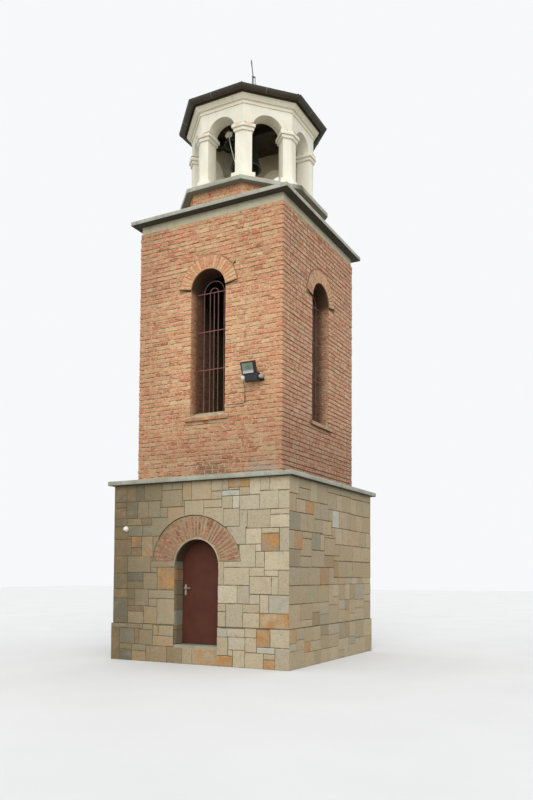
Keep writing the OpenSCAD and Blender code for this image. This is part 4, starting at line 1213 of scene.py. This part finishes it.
def tube(name, points, radii, material, sides=10, slot=None):
    """Round bar with a radius for each of its points, or one for all."""
    mesh = bpy.data.meshes.new(name)
    bm = bmesh.new()
    rings = []
    for i, p in enumerate(points):
        before = Vector(points[max(i - 1, 0)])
        after = Vector(points[min(i + 1, len(points) - 1)])
        along = (after - before).normalized()
        u = (last - along * last.dot(along)) if rings else along.orthogonal().normalized()
        u.normalize()
        last = u
        v = along.cross(u)
        r = radii[i] if isinstance(radii, list) else radii
        rings.append([bm.verts.new(Vector(p) + (u * math.cos(t) + v * math.sin(t)) * r)
                      for t in (2 * math.pi * k / sides for k in range(sides))])
    for a, b in zip(rings, rings[1:]):
        for k in range(sides):
            bm.faces.new((a[k], a[(k + 1) % sides], b[(k + 1) % sides], b[k]))
    bm.faces.new(rings[0][::-1])
    bm.faces.new(rings[-1])
    bmesh.ops.recalc_face_normals(bm, faces=bm.faces)
    bm.to_mesh(mesh)
    bm.free()
    mesh.shade_smooth()
    mesh.set_sharp_from_angle(angle=math.radians(40))
    return place(name, mesh, [material], slot)


def box_piece(name, low, high, material, slot, width=0.002, body="tower"):
    """Block with rounded edges."""
    mesh = bpy.data.meshes.new(name)
    bm = bmesh.new()
    bmesh.ops.create_cube(bm, size=1)
    low, high = Vector(low), Vector(high)
    for v in bm.verts:
        v.co = v.co * (high - low)
    bmesh.ops.bevel(bm, geom=bm.edges, offset=width, segments=2, affect="EDGES", profile=0.5)
    bmesh.ops.translate(bm, vec=(low + high) / 2, verts=bm.verts)
    bm.to_mesh(mesh)
    bm.free()
    return place(name, mesh, [material], slot, body)


def cord_curve(name, points, diameter, material):
    """Round cord along its points, as one open spline."""
    curve = bpy.data.curves.new(name, "CURVE")
    curve.dimensions = "3D"
    curve.bevel_depth = diameter / 2
    curve.bevel_resolution = 3
    curve.use_fill_caps = True
    spline = curve.splines.new("POLY")
    spline.points.add(len(points) - 1)
    for spot, p in zip(spline.points, points):
        spot.co = (*p, 1)
    return place(name, curve, [material])


def run_length(points):
    return sum((Vector(b) - Vector(a)).length for a, b in zip(points, points[1:]))


# Thickness of the rope, and radii of its bundle, tape, hook and cleat with its head
ROPE_D, BUNDLE_R, TAPE_R, HOOK_R, CLEAT_R, CLEAT_HEAD_R = 0.014, 0.011, 0.015, 0.010, 0.008, 0.014
HOOK_IN, HOOK_DOWN, ROPE_IN, ROPE_STEPS = 0.004, 0.05, 0.006, 26
BUNDLE_TURNS, BUNDLE_STEPS = 5, 24


def bell_rope():
    """Rope from a hook in the ceiling, bundled, then led down to a cleat on the pier."""
    (x, y, knot), (ex, ey, ez) = ROPE_KNOT, ROPE_END
    tube("rope_hook", [(x, y, CEILING_Z + HOOK_IN), (x, y, CEILING_Z - HOOK_DOWN)], HOOK_R, IRON,
         slot="iron")
    top = CEILING_Z - ROPE_IN
    points = [(x, y, top - (top - knot) * i / 8) for i in range(8)]
    for i in range(ROPE_STEPS + 1):
        t = i / ROPE_STEPS
        points.append((x + (ex - x) * t ** 1.3, y + (ey - y) * t ** 1.3, knot + (ez - knot) * t))
    rope = cord_curve("bell_rope", points, ROPE_D, ROPE)
    loops = []
    for i in range(BUNDLE_TURNS * BUNDLE_STEPS + 1):
        a = 2 * math.pi * i / BUNDLE_STEPS
        loops.append((x + 0.050 * math.cos(a) + 0.016 * math.cos(2.6 * a + 1.0),
                      y + 0.018 * math.sin(2.3 * a),
                      knot + 0.020 * math.sin(1.2 * a) + 0.020 * math.sin(3.1 * a)))
    bundle = tube("rope_bundle", loops, BUNDLE_R, ROPE)
    tape = tube("rope_tape", [(x - 0.060, y - 0.02, knot + 0.030), (x, y - 0.01, knot + 0.062)],
                TAPE_R, TAPE)
    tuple(points[0])
    run_length(points)
    tube("rope_cleat", [(ex + 0.030, ey, ez), (ex - 0.014, ey, ez), (ex - 0.018, ey, ez)],
         [CLEAT_R, CLEAT_R, CLEAT_HEAD_R], IRON, slot="iron")


# Cable: thickness, bends, the drop in which it comes in to the wall, from how far out, and
# how far its middle lies off the bricks
CABLE_D, CABLE_BEND, CABLE_DROP, CABLE_START, CABLE_OFF = 0.009, 0.04, 0.16, 0.045, 0.0095
# Its clips: reach to all sides, and how far they are from its top and from its level run
CLIP_X, CLIP_OUT, CLIP_IN, CLIP_Z, CLIP_BELOW, CLIP_ABOVE = 0.010, 0.007, 0.012, 0.006, 0.28, 0.09


def lamp_cable():
    """Cable from the floodlight down the bricks and along to the window's jamb."""
    x, z0, z1, bend = CABLE_X, CABLE_TOP, CABLE_LEVEL, CABLE_BEND
    wall = -SHAFT - PROUD - CABLE_OFF
    start = wall - CABLE_START
    inner = WIN_R + 0.012
    points = []
    for i in range(13):
        t = i / 12
        ease = t * t * (3 - 2 * t)
        points.append((x, start + (wall - start) * ease, z0 - CABLE_DROP * t))
    for i in range(9):
        a = i / 8 * math.pi / 2
        points.append((x - bend + bend * math.cos(a), wall, z1 + bend - bend * math.sin(a)))
    for i in range(1, 8):
        points.append((x - bend - (x - bend - inner - bend) * i / 7, wall, z1))
    for i in range(1, 7):
        a = i / 8 * math.pi / 2
        points.append((inner + bend - bend * math.sin(a), wall + bend - bend * math.cos(a), z1))
    cable = cord_curve("floodlight_cable_run", points, CABLE_D, BLACK)
    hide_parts("floodlight_cable")
    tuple(points[0])
    run_length(points)
    for z in (z0 - CLIP_BELOW, z1 + CLIP_ABOVE):
        low = (x - CLIP_X, wall - CLIP_OUT, z - CLIP_Z)
        high = (x + CLIP_X, wall + CLIP_IN, z + CLIP_Z)
        box_piece("cable_clip_%d" % round(z * 1000), low, high, BLACK, "black_plastic")


# Head of the floodlight: half width, height, rim, and how far its face leans down
HEAD_X, HEAD_HALF, HEAD_H, HEAD_RIM, HEAD_TILT = 0.925, 0.124, 0.209, 0.022, math.radians(20)
HEAD_Y, HEAD_T, RIM_PROUD, PANE_PROUD, PANE_LAP = -SHAFT + 0.04 - 0.175, 0.04, 0.009, 0.004, 0.001
GEAR_Y, GEAR_Z = -SHAFT - 0.115, 4.757
# Cap on each end of the gear box: places along it, a radius at each, and how much lower it is
LEFT_CAP = (0.846, 0.772, 0.764), [0.045, 0.045, 0.039], 0.0
RIGHT_CAP = (1.10, 1.155, 1.160), [0.034, 0.034, 0.028], 0.01


def floodlight_parts():
    """Glass and rim on the tilted head, and the caps on both ends of the gear box."""
    c, s = math.cos(HEAD_TILT), math.sin(HEAD_TILT)
    face = plane((HEAD_X, HEAD_Y - HEAD_T * c, LAMP_FOOT - HEAD_T * s), (1, 0, 0), (0, -s, c),
                 (0, -c, -s))
    half, top, rim, lap = HEAD_HALF, HEAD_H, HEAD_RIM, PANE_LAP
    edge = half - rim + lap
    border, pane = Mesher("floodlight_rim", 5), Mesher("floodlight_pane", 5)
    for sides in ((-half, 0, half, rim), (-half, top - rim, half, top),
                  (-half, rim, rim - half, top - rim), (half - rim, rim, half, top - rim)):
        border.tile(face, rect(*sides), RIM_PROUD, value(0), back=-0.002, chamfer=0.002, wobble=0)
    border.make(BLACK, slot="grey_metal")
    pane.rng = border.rng
    pane.tile(face, rect(-edge, rim - lap, edge, top - rim + lap), PANE_PROUD, value(0),
              back=-0.001, chamfer=0.001, wobble=0)
    pane.make(LAMP_GLASS, slot="white_glass")
    for end, (xs, radii, drop), material, slot in (("left", LEFT_CAP, OPAL, "white_glass"),
                                                   ("right", RIGHT_CAP, STEEL, "grey_metal")):
        tube("floodlight_cap_" + end, [(x, GEAR_Y, GEAR_Z - drop) for x in xs], radii, material,
             24, slot=slot)


def corner(apothem, k, z):
    """Corner k of an octagon of the given apothem."""
    a = math.pi / 8 + k * math.pi / 4
    r = apothem / math.cos(math.pi / 8)
    return Vector((r * math.sin(a), -r * math.cos(a), z))


# Radii of the gutter's bead and of the roof's hips and seams, and the bead's place within
# the gutter's rim
BEAD_R, HIP_R, SEAM_R, BEAD_IN = 0.007, 0.010, 0.007, 0.004
# Places of the seams and of the strap as shares of a side of the roof
SEAMS, STRAP_AT = (0.25, 0.5, 0.75), 0.42
# Half width of the strap, and how far its two faces stand off the gutter
STRAP_HALF, STRAP_BACK, STRAP_FACE = 0.006, 0.0005, 0.004


def roof_trim():
    """Bead on the gutter's lip, its straps, and the seams and hips of the roof."""
    for k in range(8):
        a, b = (corner(GUTTER - BEAD_IN, j, GUTTER_Z) for j in (k, k + 1))
        tube("gutter_bead_%d" % k, [a, b], BEAD_R, RIM, slot="sheet_metal")
        gutter_strap("gutter_strap_%d" % k, a.lerp(b, STRAP_AT), b - a)
    apex = Vector((0, 0, APEX_Z))
    for k in range(8):
        eave, after = (corner(ROOF_AP, j, CEILING_Z + ROOF_RISE) for j in (k, k + 1))
        tube("roof_hip_%d" % k, [eave, eave.lerp(apex, 0.985)], HIP_R, SHEET, slot="sheet_metal")
        for j, share in enumerate(SEAMS):
            foot = eave.lerp(after, share)
            reach = 1 - abs(share - 0.5) * 2
            top = foot + (apex - eave.lerp(after, 0.5)) * min(reach, 0.97)
            tube("roof_seam_%d_%d" % (k, j), [foot, top], SEAM_R, SHEET, 6, slot="sheet_metal")


def gutter_strap(name, at, along):
    """Flat strap that hugs the half-round gutter from its lip to the eave."""
    along = along.normalized()
    out = Vector((along.y, -along.x, 0))
    centre = at - out * (GUTTER_R - BEAD_IN)
    mesh = bpy.data.meshes.new(name)
    verts, faces = [], []
    steps = 14
    for i in range(steps + 1):
        a = -math.pi * i / steps
        for side, grow in ((-1, STRAP_BACK), (-1, STRAP_FACE), (1, STRAP_FACE), (1, STRAP_BACK)):
            r = GUTTER_R + grow
            verts.append(centre + out * (r * math.cos(a)) + Vector((0, 0, r * math.sin(a)))
                         + along * (side * STRAP_HALF))
    for b in range(0, 4 * steps, 4):
        for m in range(4):
            n = (m + 1) % 4
            faces.append((b + m, b + n, b + 4 + n, b + 4 + m))
    mesh.from_pydata(verts, [], faces)
    place(name, mesh, [STRAP], "sheet_metal")


# Lock plate

# Left, outer and lower, then right, inner and upper edge
LOCK_LOW, LOCK_HIGH = (-0.398, LEAF_Y - 0.0055, 1.139), (-0.360, LEAF_Y - 0.003, 1.317)


def lock_plate():
    """Bright face of the lock's plate, on the outside of the door's leaf."""
    box_piece("lock_plate", LOCK_LOW, LOCK_HIGH, STEEL, "bright_steel", width=0.001, body="door")


# All the pieces

for side in range(4):
    shaft_side(side)
for side, name in enumerate(("stones_front", "stones_right", "stones_back", "stones_left")):
    stone_side(side, name)
door_ring()
drum_bricks()
kerb_bricks()
lock_plate()
bell_rope()
lamp_cable()
floodlight_parts()
roof_trim()

dress(JOINT, *(name for name in nodes if name.startswith("stone_wall")))
dress(MORTAR, *(name for name in nodes if name.startswith("brick_wall")))
dress(MORTAR_TOP, "drum")
dress(RING, "door_arch_ring")
dress(CONCRETE, "ground_floor")
dress(ceiling_material(), "belfry_ceiling")
dress(DOOR, "door_frame", "door_leaf")
dress(STEEL, "door_handle")
dress(GRILLE, *(name for name in nodes if name.startswith("window_grille")))
dress(SHEET, "roof", "gutter")
dress(CROSS, "roof_cross")
dress(WOOD, "great_bell_beam", "small_bell_beam")
dress(BRONZE, "great_bell", "small_bell")
dress(IRON, "great_clapper", "small_clapper")
dress(BLACK, "floodlight")
dress(OPAL, "wall_lamp")

# Slabs, each with the colour of its painted shade underneath
for name, pale, dull, shade, reshape in (
        ("band_slab", (164, 166, 152), (140, 140, 126), (74, 68, 56), None),
        ("cornice_slab", SLAB_PALE, SLAB_DULL, (52, 48, 40), even_edge),
        ("belfry_floor", SLAB_PALE, SLAB_DULL, (120, 117, 102), None)):
    underside = min(v.co.z for v in nodes[name].data.vertices)
    slab = concrete_material(name + "_concrete", pale, dull, underside, shade)
    soften(name, 0.005, slab, reshape)
soften("door_threshold", 0.007, concrete_material("step", (156, 152, 134), (124, 118, 98)))
soften("frieze", 0.004, RENDER)
soften("belfry_arcade", 0.006, CREAM)
soften("belfry_cornice", 0.004, COVE)
for i in range(1, 9):
    soften("belfry_pier_%d" % i, 0.006, PIER)

# Floor, light and background
GROUND_HALF, GROUND_LIT = 60, (140, 136, 124)
SKY_SEEN, SKY_LIT, SKY_STRENGTH = (0.93, 0.94, 0.96, 1), (0.95, 0.97, 1.0, 1), 1.16
SUN_STRENGTH, SUN_SPREAD, SUN_COLOUR = 1.5, math.radians(50), (1.0, 0.985, 0.95)
SUN_FROM = (0.42, -0.77, 0.47)


def floor():
    mesh = bpy.data.meshes.new("ground")
    r = GROUND_HALF
    mesh.from_pydata([(x, y, 0) for x, y in rect(-r, -r, r, r)], [], [(0, 1, 2, 3)])
    ground = bpy.data.objects.new("ground", mesh)
    bpy.context.scene.collection.objects.link(ground)
    m = Mat("ground", rough=0.95, spec=0.1)
    pale = m.ramp(m.noise(0.6, 3, 0.5), (0.3, (210, 210, 208)), (0.7, (214, 214, 212)))
    m.base = m.mix(m.seen_directly(), GROUND_LIT, pale)
    mesh.materials.append(m.done())


def sky():
    world = bpy.data.worlds.new("sky")
    bpy.context.scene.world = world
    world.use_nodes = True
    world.node_tree.nodes.clear()
    tree = Nodes(world.node_tree)
    lit, seen = (tree.add("ShaderNodeBackground", {"Color": colour, "Strength": strength})
                 for colour, strength in ((SKY_LIT, SKY_STRENGTH), (SKY_SEEN, 1.0)))
    mix = tree.add("ShaderNodeMixShader",
                   {0: tree.seen_directly(), 1: lit.outputs[0], 2: seen.outputs[0]})
    tree.add("ShaderNodeOutputWorld", {"Surface": mix.outputs[0]})


def sun():
    data = bpy.data.lights.new("soft_key", "SUN")
    data.energy = SUN_STRENGTH
    data.angle = SUN_SPREAD
    data.color = SUN_COLOUR
    lamp = bpy.data.objects.new("soft_key", data)
    lamp.rotation_euler = Vector(SUN_FROM).to_track_quat("Z", "Y").to_euler()
    bpy.context.scene.collection.objects.link(lamp)


floor()
sky()
sun()
bpy.context.scene.view_settings.view_transform = "Standard"
